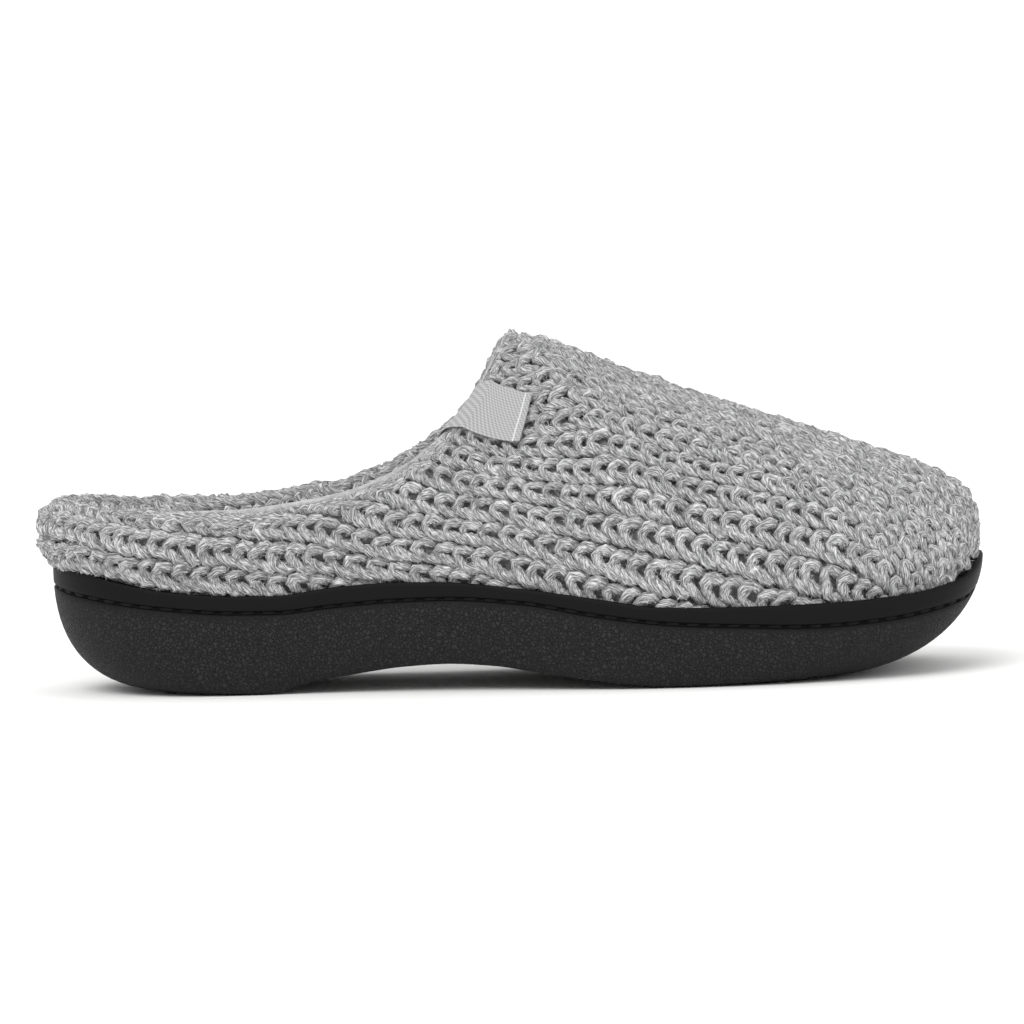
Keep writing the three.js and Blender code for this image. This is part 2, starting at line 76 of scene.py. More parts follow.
cup = {
    "at": [0, 0.03, 0.07, 0.12, 0.2, 0.3, 0.4, 0.5, 0.58, 0.65, 0.72, 0.82, 0.9, 0.95, 1],
    "seat": [0.95, 0.85, 0.773, 0.73, 0.707, 0.713, 0.707, 0.647, 0.567, 0.52, 0.507, 0.513,
             0.573, 0.66, 0.93],
}
arch = {
    "at": [0, 0.235, 0.275, 0.327, 0.376, 0.424, 0.472, 0.52, 0.569, 0.617, 0.65, 1],
    "under": [0, 0, 0.09, 0.165, 0.22, 0.24, 0.215, 0.147, 0.08, 0.027, 0, 0],
}
tread = {"start": 0.125, "end": 0.845, "narrow": 0.87}
collar = {
    "at": [0, 0.1, 0.2, 0.3, 0.35, 0.4, 0.45, 0.5, 0.525, 0.55, 0.575],
    "along": [0.0147, 0.036, 0.0992, 0.198, 0.254, 0.317, 0.38, 0.434, 0.4547, 0.4695, 0.482],
    "side": [0, 0.239, 0.403, 0.44, 0.446, 0.446, 0.41, 0.333, 0.276, 0.2015, 0.1],
    "climb": [0, -0.01, -0.05, -0.05, -0.015, 0.052, 0.205, 0.458, 0.6, 0.765, 0.904],
    "tilt": [0, 0, 0, 0, 2, 4, 14, 32, 44, 58, 74],
    "roll": [1, 1, 0.96, 0.92, 0.86, 0.77, 0.62, 0.47, 0.41, 0.365, 0.34],
}
ridge = {
    "at": [0.6, 0.65, 0.7, 0.75, 0.8, 0.85, 0.9, 0.95, 1],
    "along": [0.4985, 0.566, 0.634, 0.706, 0.779, 0.845, 0.898, 0.933, 0.95],
}
ridgeTop = {
    "at": [0.4985, 0.53, 0.562, 0.594, 0.658, 0.722, 0.786, 0.85, 0.914, 0.95],
    "height": [1, 0.993, 0.96, 0.923, 0.854, 0.793, 0.731, 0.672, 0.612, 0.572],
}
wall = {
    "at": [0, 0.15, 0.3, 0.4, 0.5, 0.55, 0.6, 0.65, 0.7, 0.8, 0.9, 1],
    "bulge": [0.062, 0.055, 0.042, 0.03, 0.025, 0.026, 0.028, 0.03, 0.032, 0.036, 0.04, 0.05],
    "rise": [0.016, 0.03, 0.062, 0.1, 0.2, 0.26, 0.3, 0.3, 0.28, 0.21, 0.15, 0.116],
    "reach": [0.052, 0.052, 0.052, 0.08, 0.15, 0.18, 0.21, 0.23, 0.25, 0.24, 0.17, 0.1],
    "lean": [1, 1, 1, 0.8, 0.6, 0.6, 0.5, 0.2, 0, 0.2, 0.6, 1],
}
lining = {"bulge": 0.3, "reach": 0.88}


def through(table, column, flatStart=False, flatEnd=False):
    # a smooth line through a column, without overshoot between its rows
    at, value = np.array(table["at"], float), np.array(table[column], float)
    gap = np.diff(at)
    slope = np.diff(value) / gap
    lean = np.zeros(len(at))
    lean[0] = 0 if flatStart else slope[0]
    lean[-1] = 0 if flatEnd else slope[-1]
    before, after = slope[:-1], slope[1:]
    heavyBefore, heavyAfter = 2 * gap[1:] + gap[:-1], gap[1:] + 2 * gap[:-1]
    same = before * after > 0
    safeBefore, safeAfter = np.where(same, before, 1), np.where(same, after, 1)
    lean[1:-1] = np.where(same, (heavyBefore + heavyAfter)
                          / (heavyBefore / safeBefore + heavyAfter / safeAfter), 0)

    def line(x):
        x = np.asarray(x, float)
        row = np.clip(np.searchsorted(at[1:], x, side="left"), 0, len(at) - 2)
        t = np.clip((x - at[row]) / gap[row], 0, 1)
        t2, t3 = t * t, t * t * t
        return ((2 * t3 - 3 * t2 + 1) * value[row] + (t3 - 2 * t2 + t) * gap[row] * lean[row]
                + (3 * t2 - 2 * t3) * value[row + 1] + (t3 - t2) * gap[row] * lean[row + 1])
    return line


def easeIn(x):
    x = np.clip(x, 0, 1)
    return x * x * (3 - 2 * x)


def ease(name, x):
    start, length = easing[name]
    return easeIn((x - start) / length)


def unit(v):
    return v / np.maximum(np.linalg.norm(v, axis=-1, keepdims=True), 1e-12)


def stack(*columns):
    return np.stack(np.broadcast_arrays(*[np.asarray(c, float) for c in columns]), axis=-1)


planLine = {-1: through(plan, "outer"), 1: through(plan, "inner")}
lipLine = through(soleSide, "lip", True, True)
channelLine = through(soleSide, "channel", True, True)
edgeFull = through(soleEdge, "full", True, True)
seatLine = through(cup, "seat")
underLine = through(arch, "under")
ridgeAlong = through(ridge, "along", False, True)
ridgeLine = through(ridgeTop, "height", True)
wallLine = {name: through(wall, name, True, True) for name in ("bulge", "rise", "reach", "lean")}

throatTurn = math.radians(size["throatTilt"])
ridgeStart = size["soleLength"] * ridge["along"][0]
halfWall = size["wall"] / 2
crestEnd = (ridgeStart - halfWall * (math.cos(throatTurn) + math.sin(throatTurn)),
            size["throatHeight"] - halfWall * (math.sin(throatTurn) - math.cos(throatTurn)))
collarEnd = {
    "at": size["throatShare"], "along": crestEnd[0] / size["soleLength"], "side": 0,
    "climb": (crestEnd[1] - size["heelHeight"]) / (size["throatHeight"] - size["heelHeight"]),
    "tilt": size["throatTilt"], "roll": halfWall / size["heelRoll"],
}
collarTable = {name: rows + [collarEnd[name]] for name, rows in collar.items()}
collarLine = {name: through(collarTable, name, name != "side", name != "side")
              for name in ("along", "side", "climb", "tilt", "roll")}


def alongAt(share):
    return size["soleLength"] * (1 - np.cos(np.pi * np.asarray(share, float))) / 2


def halfWidth(side, along):
    share = along / size["soleLength"]
    half = planLine[side](share)
    heelWay = np.clip(1 - share / ends["heelReach"], 0, 1)
    toeWay = np.clip(1 - (1 - share) / ends["toeReach"], 0, 1)
    heelTurn = (1 - heelWay ** ends["heelFull"]) ** (1 / ends["heelFull"])
    toeTurn = (1 - toeWay ** ends["toeFull"]) ** (1 / ends["toeFull"])
    wide = half * size["ballWidth"] * toeTurn
    narrow = half * (size["heelWidth"] / plan["outer"][0] / 2) * heelTurn
    blend = ease("toBall", share)
    return narrow * toeTurn * (1 - blend) + wide * heelTurn * blend


def edgePoint(side, share):
    along = alongAt(share)
    return stack(along, halfWidth(side, along))


def edgeNormal(side, share):
    share = np.asarray(share, float)
    way = unit(edgePoint(side, np.minimum(share + size["nudge"], 1))
               - edgePoint(side, np.maximum(share - size["nudge"], 0)))
    normal = stack(-way[..., 1], way[..., 0])
    normal = np.where((share <= 0)[..., None], np.array([-1.0, 0]), normal)
    return np.where((share >= 1)[..., None], np.array([1.0, 0]), normal)


def insetPoint(side, share, inset):
    return edgePoint(side, share) - edgeNormal(side, share) * inset


def lipHeight(share):
    return size["soleHeight"] * lipLine(share)


def seatHeight(along):
    return size["soleHeight"] * seatLine(along / size["soleLength"])


def underHeight(along):
    return size["soleHeight"] * underLine(along / size["soleLength"])


def crestPoint(share):
    share = np.asarray(share, float)
    past = share > size["throatShare"]
    inside = np.where(past, 2 * size["throatShare"] - share, np.abs(share))
    sign = np.where(past | (share < 0), -1, 1)
    rise = size["throatHeight"] - size["heelHeight"]
    return stack(collarLine["along"](inside) * size["soleLength"],
                 sign * collarLine["side"](inside) * size["heelWidth"],
                 size["heelHeight"] + rise * collarLine["climb"](inside))


def collarFrame(share):
    share = np.asarray(share, float)
    way = unit(crestPoint(share + size["nudge"]) - crestPoint(share - size["nudge"]))
    level = unit(stack(-way[..., 1], way[..., 0], 0 * way[..., 0]))
    steep = np.cross(way, level)
    turn = np.radians(collarLine["tilt"](share))[..., None]
    out = level * np.cos(turn) + steep * np.sin(turn)
    up = steep * np.cos(turn) - level * np.sin(turn)
    radius = (size["heelRoll"] * collarLine["roll"](share))[..., None]
    return crestPoint(share) - up * radius, radius, out, up


def ridgeFrame(share):
    def height(along):
        return size["throatHeight"] * ridgeLine(along / size["soleLength"])

    along = ridgeAlong(share) * size["soleLength"]
    step = size["soleLength"] * size["ridgeNudge"]
    behind = np.maximum(along - step, ridgeStart)
    ahead = np.minimum(along + step, ridgeTop["at"][-1] * size["soleLength"])
    way = unit(stack(ahead - behind, 0, height(ahead) - height(behind)))
    return stack(along, 0, height(along)), stack(-way[..., 2], 0, way[..., 0])


def wallCurve(side, share, isLining=False):
    share = np.asarray(share, float)
    normal = edgeNormal(side, share)
    inset = size["lipWidth"] + size["gap"] + (size["wall"] if isLining else 0)
    foot = insetPoint(side, share, inset)
    start = stack(foot[..., 0], foot[..., 1], lipHeight(share) + size["gap"])
    bulge = wallLine["bulge"](share) * size["ballWidth"] * (lining["bulge"] if isLining else 1)
    rise = wallLine["rise"](share) * size["ballWidth"]
    reach = wallLine["reach"](share) * size["ballWidth"] * (lining["reach"] if isLining else 1)
    leave = start + stack(normal[..., 0] * bulge, normal[..., 1] * bulge, rise)
    centre, radius, collarOut, up = collarFrame(np.minimum(share, size["throatShare"]))
    point, ridgeOut = ridgeFrame(np.maximum(share, size["throatShare"]))
    atCollar = (share < size["throatShare"])[..., None]
    depth = -1 if isLining else 1
    end = np.where(atCollar, centre + collarOut * radius * depth,
                   point - ridgeOut * (size["wall"] if isLining else 0))
    out = np.where(atCollar, collarOut, ridgeOut)
    climb = end - start
    climb[..., 0] *= wallLine["lean"](share)
    arrive = unit(climb - out * np.sum(climb * out, axis=-1, keepdims=True))
    return start, leave, end - arrive * reach[..., None], end


def wallPoint(side, share, height, isLining=False):
    # height 0 to 1 up the wall
    start, leave, approach, end = wallCurve(side, share, isLining)
    t = np.asarray(height, float)[..., None]
    r = 1 - t
    return start * r ** 3 + leave * 3 * r * r * t + approach * 3 * r * t * t + end * t ** 3


def collarArc(share, part):
    # part 0 outside, 0.5 on the crest, 1 inside
    centre, radius, out, up = collarFrame(share)
    angle = (np.pi * np.asarray(part, float))[..., None]
    return centre + out * radius * np.cos(angle) + up * radius * np.sin(angle)


def place(side, point):
    # gives a point its side and the last's bend towards the toe
    share = point[..., 0] / size["soleLength"]
    aside = bend["toe"] * ease("lastBend", share) * bend["gain"]
    return stack(point[..., 0], side * point[..., 1] + aside, point[..., 2])


# the solids stand with their middle over the origin
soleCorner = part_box("outsole")[0] / mm
outlineAt = alongAt(np.linspace(0, 1, 41))
footprint = place(-1, stack(outlineAt, halfWidth(-1, outlineAt), 0))
shoeShift = np.array([soleCorner.x, soleCorner.y - footprint[:, 1].min(), 0])


def toFrame(points):
    return (np.asarray(points, float) + shoeShift) * mm


def runAlong(line):
    return np.concatenate([[0], np.cumsum(np.linalg.norm(np.diff(line, axis=0), axis=1))])


def walkLine(line, run, want):
    return np.stack([np.interp(want, run, line[:, k]) for k in range(3)], axis=-1)


def rollRadius(share):
    return size["heelRoll"] * float(collarLine["roll"](share))


# ---- helpers for meshes and nodes

def linear(hexText):
    # sRGB hex to the linear colour that a shader takes
    parts = [int(hexText[i:i + 2], 16) / 255 for i in (1, 3, 5)]
    return tuple(c / 12.92 if c <= 0.04045 else ((c + 0.055) / 1.055) ** 2.4 for c in parts) + (1,)


def addObject(name, data):
    piece = bpy.data.objects.new(name, data)
    bpy.context.collection.objects.link(piece)
    return piece


def addMesh(name, points, faces=(), material=None, attributes=None, edges=()):
    mesh = bpy.data.meshes.new(name)
    mesh.from_pydata([tuple(p) for p in points], edges, [tuple(int(i) for i in f) for f in faces])
    for title, values in (attributes or {}).items():
        values = np.asarray(values, np.float32)
        kind = "FLOAT" if values.ndim == 1 else "FLOAT_VECTOR"
        layer = mesh.attributes.new(title, kind, "POINT")
        layer.data.foreach_set("value" if values.ndim == 1 else "vector", values.ravel())
    mesh.shade_smooth()
    if material:
        mesh.materials.append(material)
    return addObject(name, mesh)


def gridFaces(rows, columns, start=0, flip=False):
    i, j = np.meshgrid(np.arange(rows - 1), np.arange(columns - 1), indexing="ij")
    a = start + i * columns + j
    quads = np.stack([a, a + 1, a + columns + 1, a + columns], axis=-1).reshape(-1, 4)
    return quads[:, ::-1] if flip else quads


def joinGrids(grids, flips):
    # several grids of points as one list of points and one of faces
    points, faces, start = [], [], 0
    for grid, flip in zip(grids, flips):
        points.append(grid.reshape(-1, 3))
        faces.append(gridFaces(*grid.shape[:2], start, flip))
        start += len(points[-1])
    return np.concatenate(points), np.concatenate(faces)


def spanAcross(outer, inner, row, count):
    # fills the way from one side's row to the other side's
    mixes = np.linspace(0, 1, count)[None, :, None]
    return outer[:, row][:, None] * (1 - mixes) + inner[:, row][:, None] * mixes


def tidyMesh(piece, distance=2e-6):
    form = bmesh.new()
    form.from_mesh(piece.data)
    bmesh.ops.remove_doubles(form, verts=form.verts, dist=distance)
    bmesh.ops.dissolve_degenerate(form, edges=form.edges, dist=distance)
    bmesh.ops.recalc_face_normals(form, faces=form.faces)
    form.to_mesh(piece.data)
    form.free()


def sharpen(piece, degrees):
    piece.data.shade_smooth()
    piece.data.set_sharp_from_angle(angle=math.radians(degrees))


def bakeModifiers(piece):
    # what the modifiers make becomes a plain mesh
    graph = bpy.context.evaluated_depsgraph_get()
    old, piece.data = piece.data, bpy.data.meshes.new_from_object(piece.evaluated_get(graph))
    piece.modifiers.clear()
    bpy.data.meshes.remove(old)


def triangles(piece):
    return sum(len(p.vertices) - 2 for p in piece.data.polygons)


def addNode(tree, kind, links=None, **settings):
    # one node with its settings, its values and the sockets that feed it
    node = tree.nodes.new(kind)
    for name, value in settings.items():
        setattr(node, name, value)
    for socket, value in (links or {}).items():
        for one in (value if isinstance(value, list) else [value]):
            if isinstance(one, bpy.types.NodeSocket):
                tree.links.new(one, node.inputs[socket])
            else:
                node.inputs[socket].default_value = one
    return node


def adder(tree, family):
    # adds nodes of one family to a tree and gives one of their outputs
    def add(kind, links=None, socket=0, **settings):
        return addNode(tree, family + kind, links, **settings).outputs[socket]
    return add


def sums(tree, operation, *values, clamp=False):
    return adder(tree, "ShaderNode")("Math", dict(enumerate(values)), operation=operation,
                                     use_clamp=clamp)


def vectors(tree, operation, *values, **links):
    return adder(tree, "ShaderNode")("VectorMath", {**dict(enumerate(values)), **links},
                                     operation=operation)


def newMaterial(name):
    material = bpy.data.materials.new(name)
    material.use_nodes = True
    return material, material.node_tree, adder(material.node_tree, "ShaderNode")


def surface(material, **sockets):
    tree = material.node_tree
    for name, value in sockets.items():
        socket = tree.nodes["Principled BSDF"].inputs[name.replace("_", " ")]
        if isinstance(value, bpy.types.NodeSocket):
            tree.links.new(value, socket)
        else:
            socket.default_value = value
    return material


def ramp(tree, factor, stops):
    node = addNode(tree, "ShaderNodeValToRGB", {"Fac": factor})
    while len(node.color_ramp.elements) < len(stops):
        node.color_ramp.elements.new(0.5)
    for element, (at, tint) in zip(node.color_ramp.elements, stops):
        element.position = at
        element.color = linear(tint) if isinstance(tint, str) else (tint, tint, tint, 1)
    return node.outputs["Color"]


def attribute(tree, name, socket="Fac"):
    return addNode(tree, "ShaderNodeAttribute", attribute_name=name).outputs[socket]


def noise(tree, vector, scale, detail=3, rough=0.5):
    return addNode(tree, "ShaderNodeTexNoise", {"Vector": vector, "Scale": scale, "Detail": detail,
                                                "Roughness": rough}).outputs["Fac"]


def blendColor(tree, factor, first, second, kind="MIX"):
    return addNode(tree, "ShaderNodeMix", {0: factor, 6: first, 7: second}, data_type="RGBA",
                   blend_type=kind).outputs[2]


def bump(tree, height, depth, strength=1.0, below=None):
    links = {"Height": height, "Distance": depth, "Strength": strength}
    if below:
        links["Normal"] = below
    return addNode(tree, "ShaderNodeBump", links).outputs["Normal"]


# camera as in the photograph: the outer side, toe to the right, slightly from above
camera = {"lens": 400, "sensor": 36, "distance": 3.154, "elevation": 4.5, "roll": 1.58,
          "aim": (0.0005, -0.0013, 0.0459), "clipEnd": 60}


def addCamera():
    data = bpy.data.cameras.new("camera")
    data.lens, data.sensor_width, data.clip_end = camera["lens"], camera["sensor"], camera["clipEnd"]
    piece = addObject("camera", data)
    rise, roll = math.radians(camera["elevation"]), math.radians(camera["roll"])
    back = Vector((0, -math.cos(rise), math.sin(rise)))
    level, upright = Vector((1, 0, 0)), Vector((0, math.sin(rise), math.cos(rise)))
    right = level * math.cos(roll) - upright * math.sin(roll)
    up = level * math.sin(roll) + upright * math.cos(roll)
    piece.matrix_world = Matrix((right, up, back)).transposed().to_4x4()
    piece.location = Vector(camera["aim"]) + back * camera["distance"]
    bpy.context.scene.camera = piece


# a white floor under broad soft lamps
studio = {"world": "#FFFFFF", "worldStrength": 0.92, "floor": "#F6F6F5", "floorSize": 60,
          "floorDrop": 0.0004}
lamps = [  # name, where it shines from, strength, softness in degrees
    ("key", (-0.75, -1.5, 1.7), 1.6, 38),
    ("fill", (1.6, -1.3, 0.8), 0.5, 60),
    ("top", (0.2, 0.7, 2.0), 0.3, 50),
]


def addStudio():
    scene = bpy.context.scene
    scene.view_settings.view_transform = "Standard"
    scene.world = scene.world or bpy.data.worlds.new("studio")
    scene.world.use_nodes = True
    back = scene.world.node_tree.nodes["Background"]
    back.inputs["Color"].default_value = linear(studio["world"])
    back.inputs["Strength"].default_value = studio["worldStrength"]
    for name, spot, power, softness in lamps:
        data = bpy.data.lights.new(name, "SUN")
        data.angle, data.energy = math.radians(softness), power
        lamp = addObject(name, data)
        lamp.location = spot
        lamp.rotation_euler = (-Vector(spot)).to_track_quat("-Z", "Y").to_euler()
    half, low = studio["floorSize"] / 2, -studio["floorDrop"]
    material = newMaterial("white paper sweep")[0]
    surface(material, Base_Color=linear(studio["floor"]), Roughness=0.9, Specular_IOR_Level=0.1)
    floor = addMesh("floor", [(-half, -half, low), (half, -half, low), (half, half, low),
                              (-half, half, low)], [(0, 1, 2, 3)], material)


addCamera()
addStudio()
print("studio and camera set")


# ---- materials

def heatherWool():
    # soft-spun acrylic and wool yarn: dark and pale fibres run side by side along each strand
    material, tree, shade = newMaterial("heathered acrylic wool yarn")
    strand, along = attribute(tree, "strand", "Vector"), attribute(tree, "along")
    tone, lift = attribute(tree, "tone"), attribute(tree, "lift")

    def streaks(jump, row, pull, scale, detail):
        # every stitch reads its own part of the noise, drawn out along the yarn
        moved = shade("CombineXYZ", {"X": sums(tree, "MULTIPLY", tone, jump), "Y": row,
                                     "Z": sums(tree, "MULTIPLY", along, pull)})
        return noise(tree, vectors(tree, "ADD", strand, moved), scale, detail)

    fibres = streaks(37.0, 0.0, 0.1, 4.2, 2)
    flecks = streaks(91.0, 3.0, 0.12, 6.5, 1)
    heather = ramp(tree, fibres, [(0.38, "#757576"), (0.47, "#9B9B9C"), (0.54, "#B6B6B7"),
                                  (0.63, "#D9D9D9")])
    pale = ramp(tree, flecks, [(0.55, 0.0), (0.65, 1.0)])
    dark = ramp(tree, flecks, [(0.35, 1.0), (0.45, 0.0)])
    mixed = blendColor(tree, sums(tree, "MULTIPLY", pale, 0.6), heather, linear("#FFFFFF"))
    mixed = blendColor(tree, sums(tree, "MULTIPLY", dark, 0.6), mixed, linear("#606062"))
    tint = ramp(tree, tone, [(0.0, 0.86), (1.0, 1.0)])
    # painted shade: the yarn's colour is darkened where its path dips low between the stitches, as shade
    # in the hollows of the fabric
    depth = ramp(tree, sums(tree, "MULTIPLY_ADD", lift, 0.36, 0.6),
                 [(0.0, 0.55), (0.45, 0.88), (0.9, 1.0)])
    toned = blendColor(tree, 1.0, mixed, tint, "MULTIPLY")
    relief = sums(tree, "ADD", fibres, sums(tree, "MULTIPLY", flecks, 0.8))
    return surface(material, Base_Color=blendColor(tree, 1.0, toned, depth, "MULTIPLY"),
                   Roughness=0.95, Normal=bump(tree, relief, 0.0006, 0.9), Sheen_Weight=0.12,
                   Sheen_Roughness=0.5, Specular_IOR_Level=0.12)


def woolFibre():
    # single loose hairs that stand off the spun yarn
    material, tree, _ = newMaterial("loose wool fibres")
    tint = ramp(tree, attribute(tree, "tone"), [(0.0, "#9A9A9B"), (0.5, "#CDCDCD"), (1.0, "#F4F4F4")])
    return surface(material, Base_Color=tint, Roughness=0.9, Specular_IOR_Level=0.1)


def woolGround():
    # the shaded back of the fabric, seen only through the holes between stitches
    material, tree, shade = newMaterial("shaded back of the knit")
    grain = noise(tree, shade("TexCoord", socket="Object"), 900, 3)
    return surface(material, Base_Color=ramp(tree, grain, [(0.35, "#767677"), (0.7, "#9C9C9D")]),
                   Roughness=1.0, Specular_IOR_Level=0.1)


def brushedFleece(name, light, dark):
    # short brushed polyester pile: small soft tufts a millimetre or two across
    material, tree, shade = newMaterial(name)
    space = shade("TexCoord", socket="Object")
    tufts, hairs = noise(tree, space, 420, 3, 0.6), noise(tree, space, 2600, 2, 0.6)
    both = sums(tree, "MULTIPLY_ADD", hairs, 0.35, sums(tree, "MULTIPLY", tufts, 0.75))
    return surface(material, Base_Color=ramp(tree, both, [(0.35, dark), (0.68, light)]),
                   Roughness=0.97, Normal=bump(tree, hairs, 0.0002, 0.7, bump(tree, tufts, 0.0011, 0.8)),
                   Sheen_Weight=0.4, Sheen_Roughness=0.6, Specular_IOR_Level=0.15)


def mouldedRubber():
    # blown rubber: a leathery mould grain on the side wall, a bare smooth band at the rim
    material, tree, shade = newMaterial("moulded blown rubber")
    space = shade("TexCoord", socket="Object")
    zone = attribute(tree, "zone")  # 0 grained wall, 1 smooth rim
    warp = shade("TexNoise", {"Vector": space, "Scale": 700.0, "Detail": 2.0}, "Color")
    bent = vectors(tree, "SUBTRACT", warp, (0.5, 0.5, 0.5))
    moved = vectors(tree, "MULTIPLY_ADD", bent, (0.0024, 0.0024, 0.0024), space)
    cells = shade("TexVoronoi", {"Vector": moved, "Scale": 900.0}, "Distance",
                  feature="DISTANCE_TO_EDGE")
    creases = ramp(tree, cells, [(0.0, 0.0), (0.22, 0.8), (0.5, 1.0)])
    grain = noise(tree, space, 1900, 2, 0.6)
    relief = sums(tree, "MULTIPLY_ADD", grain, 0.8, sums(tree, "MULTIPLY", creases, 0.6))
    wallPart = sums(tree, "SUBTRACT", 1.0, zone, clamp=True)
    # painted shade and highlight: the side wall's colour follows the grain's relief, near black in the
    # creases and lighter grey on the raised grain
    paintedGrainShading = blendColor(tree, relief, linear("#020202"), linear("#2F2F30"))
    return surface(material, Base_Color=blendColor(tree, zone, paintedGrainShading, linear("#08080A")),
                   Roughness=sums(tree, "MULTIPLY_ADD", grain, 0.2, 0.46), Specular_IOR_Level=0.13,
                   Normal=bump(tree, sums(tree, "MULTIPLY", relief, wallPart), 0.0007, 1.0,
                               bump(tree, grain, 0.00003, 0.5)))


def waxedThread():
    # bonded nylon thread, black with a faint shine on its twist
    material, tree, shade = newMaterial("bonded nylon thread")
    twist = shade("TexWave", {"Vector": attribute(tree, "twist", "Vector"), "Scale": 1.0}, "Fac",
                  bands_direction="DIAGONAL")
    return surface(material, Base_Color=ramp(tree, twist, [(0.0, "#050506"), (1.0, "#131314")]),
                   Roughness=0.55, Specular_IOR_Level=0.2, Normal=bump(tree, twist, 0.00008, 0.6))


def twillRibbon():
    # satin-faced polyester ribbon woven in a fine twill
    material, tree, shade = newMaterial("polyester twill ribbon")
    weave = attribute(tree, "weave", "Vector")
    lines = shade("TexWave", {"Vector": weave, "Scale": 0.5, "Distortion": 0.3, "Detail": 1.0}, "Fac",
                  bands_direction="DIAGONAL")
    picks = shade("TexWave", {"Vector": weave, "Scale": 0.55}, "Fac", bands_direction="Y")
    both = sums(tree, "MULTIPLY_ADD", picks, 0.5, sums(tree, "MULTIPLY", lines, 0.5))
    base = ramp(tree, both, [(0.15, "#7F7F80"), (0.85, "#A9A9A9")])
    hemmed = blendColor(tree, attribute(tree, "hem"), base, linear("#D9D9DA"))
    worn = sums(tree, "MULTIPLY", noise(tree, weave, 3.0, 3, 0.6), 0.25)
    return surface(material, Base_Color=blendColor(tree, worn, hemmed, linear("#8E8E90")),
                   Roughness=0.62, Normal=bump(tree, both, 0.00012, 0.7), Sheen_Weight=0.2)


finish = {
    "wool": heatherWool(), "fibre": woolFibre(), "ground": woolGround(),
    "fleece": brushedFleece("brushed fleece lining", "#B4B4B4", "#868686"),
    "footbed": brushedFleece("fleece footbed cover", "#BDBBB7", "#949390"),
    "rubber": mouldedRubber(), "thread": waxedThread(), "ribbon": twillRibbon(),
}
print("materials ready")


# ---- the upper's surface, one profile round the wall: 0 to 1 up the outside,
# 1 to 2 over the collar's edge, 2 to 3 down the lining

upper = {"stations": 168, "wallRows": 30, "rollRows": 26, "liningRows": 22, "inset": 3.0,
         "rollShare": 0.86, "rollStart": 0.95, "bindStep": 0.05, "fill": 0.75, "fineRows": 81}
knitEnd = {  # where the knit stops and the fleece binding starts, on the profile
    "at": [0, 0.1, 0.2, 0.28, 0.35, 0.45, 0.52, 0.56, 0.6],
    "outer": [1.75, 1.75, 1.6, 1.42, 1.35, 1.36, 1.4, 1.4, 1.38],
    "inner": [1.75, 1.8, 2.05, 2.14, 2.18, 2.16, 2.06, 1.7, 1.38],
}
knitEndLine = {-1: through(knitEnd, "outer", True, True), 1: through(knitEnd, "inner", True, True)}


def wallColumn(side, share, steps, isLining=False):
    # points at even distances up the wall at one station
    rows = upper["fineRows"]
    spots = wallPoint(side, np.full(rows, float(share)), np.linspace(0, 1, rows), isLining)
    run = runAlong(spots)
    return walkLine(spots, run, np.asarray(steps) * run[-1])


def upperColumn(side, share, part):
    # one station of one part of the upper: points and where they lie on the profile
    if part == "roll":
        turn = np.linspace(0, 1, upper["rollRows"] + 1)
        return collarArc(np.full(len(turn), share), turn), 1 + turn
    isLining = part == "lining"
    steps = np.linspace(0, 1, upper["liningRows" if isLining else "wallRows"] + 1)
    spots = wallColumn(side, share, steps, isLining)
    floor = spots[:1].copy()
    floor[0, 2] = seatHeight(floor[0, 0]) + size["gap"]
    g = np.concatenate([[0], steps])
    return np.concatenate([floor, spots]), 3 - g if isLining else g


def coreInset(side, share, g):
    # how far the fabric's ground lies below the knit's outer face
    end = knitEndLine[side](min(share, size["throatShare"]))
    deep = np.full(len(g), upper["inset"])
    if share <= size["throatShare"]:
        onRoll = min(upper["inset"], upper["rollShare"] * rollRadius(share))
        deep = np.where(g > upper["rollStart"], onRoll, deep)
    return deep * (1 - easeIn((g - end) / upper["bindStep"]))


def addUpper():
    shares = np.linspace(0, 1, upper["stations"] + 1)
    throat = int(round(size["throatShare"] * upper["stations"]))
    shares[throat] = size["throatShare"]
    grids, flips, insets, fleece, edges, start = [], [], [], [], [], 0
    for side in (-1, 1):
        feet = []
        for part in ("outer", "roll", "lining"):
            own = shares[:throat + 1] if part == "roll" else shares
            columns = [upperColumn(side, share, part) for share in own]
            grid, g = (np.array([column[k] for column in columns]) for k in (0, 1))
            ends = np.array([knitEndLine[side](min(share, size["throatShare"])) for share in own])
            grids.append(place(side, grid))
            flips.append((side < 0) != (part == "lining"))
            insets += [coreInset(side, share, row) for share, row in zip(own, g)]
            fleece.append(((g[:-1, :-1] + g[1:, 1:]) / 2 > ends[:-1, None]).ravel())
            if part != "roll":
                feet.append(start + np.arange(len(own)) * g.shape[1])
            start += g.size
        low, high = feet
        edge = np.stack([high[:-1], low[:-1], low[1:], high[1:]], axis=1)
        edges.append(edge[:, ::-1] if side < 0 else edge)
    points, faces = joinGrids(grids, flips)
    fleece.append(np.ones(2 * upper["stations"], bool))
    piece = addMesh("upper_shell", toFrame(points), np.concatenate([faces, *edges]), None,
                    {"inset": np.concatenate(insets)})
    mesh = piece.data
    for title in ("ground", "fleece"):
        mesh.materials.append(finish[title])
    mesh.polygons.foreach_set("material_index", np.concatenate(fleece).astype(int))
    tidyMesh(piece)
    # the ground sinks below the yarn, and stays at the face where the binding is
    spots, normals, inset = (np.empty(len(mesh.vertices) * k) for k in (3, 3, 1))
    mesh.vertices.foreach_get("co", spots)
    mesh.vertex_normals.foreach_get("vector", normals)
    mesh.attributes["inset"].data.foreach_get("value", inset)
    mesh.vertices.foreach_set("co", spots - normals * np.repeat(inset, 3) * mm)
    mesh.attributes.remove(mesh.attributes["inset"])
    mesh.update()
    return piece


core = addUpper()
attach(core, root)
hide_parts("upper")
print("upper core", triangles(core))


# ---- the knit: every stitch of a chart is carried onto the upper

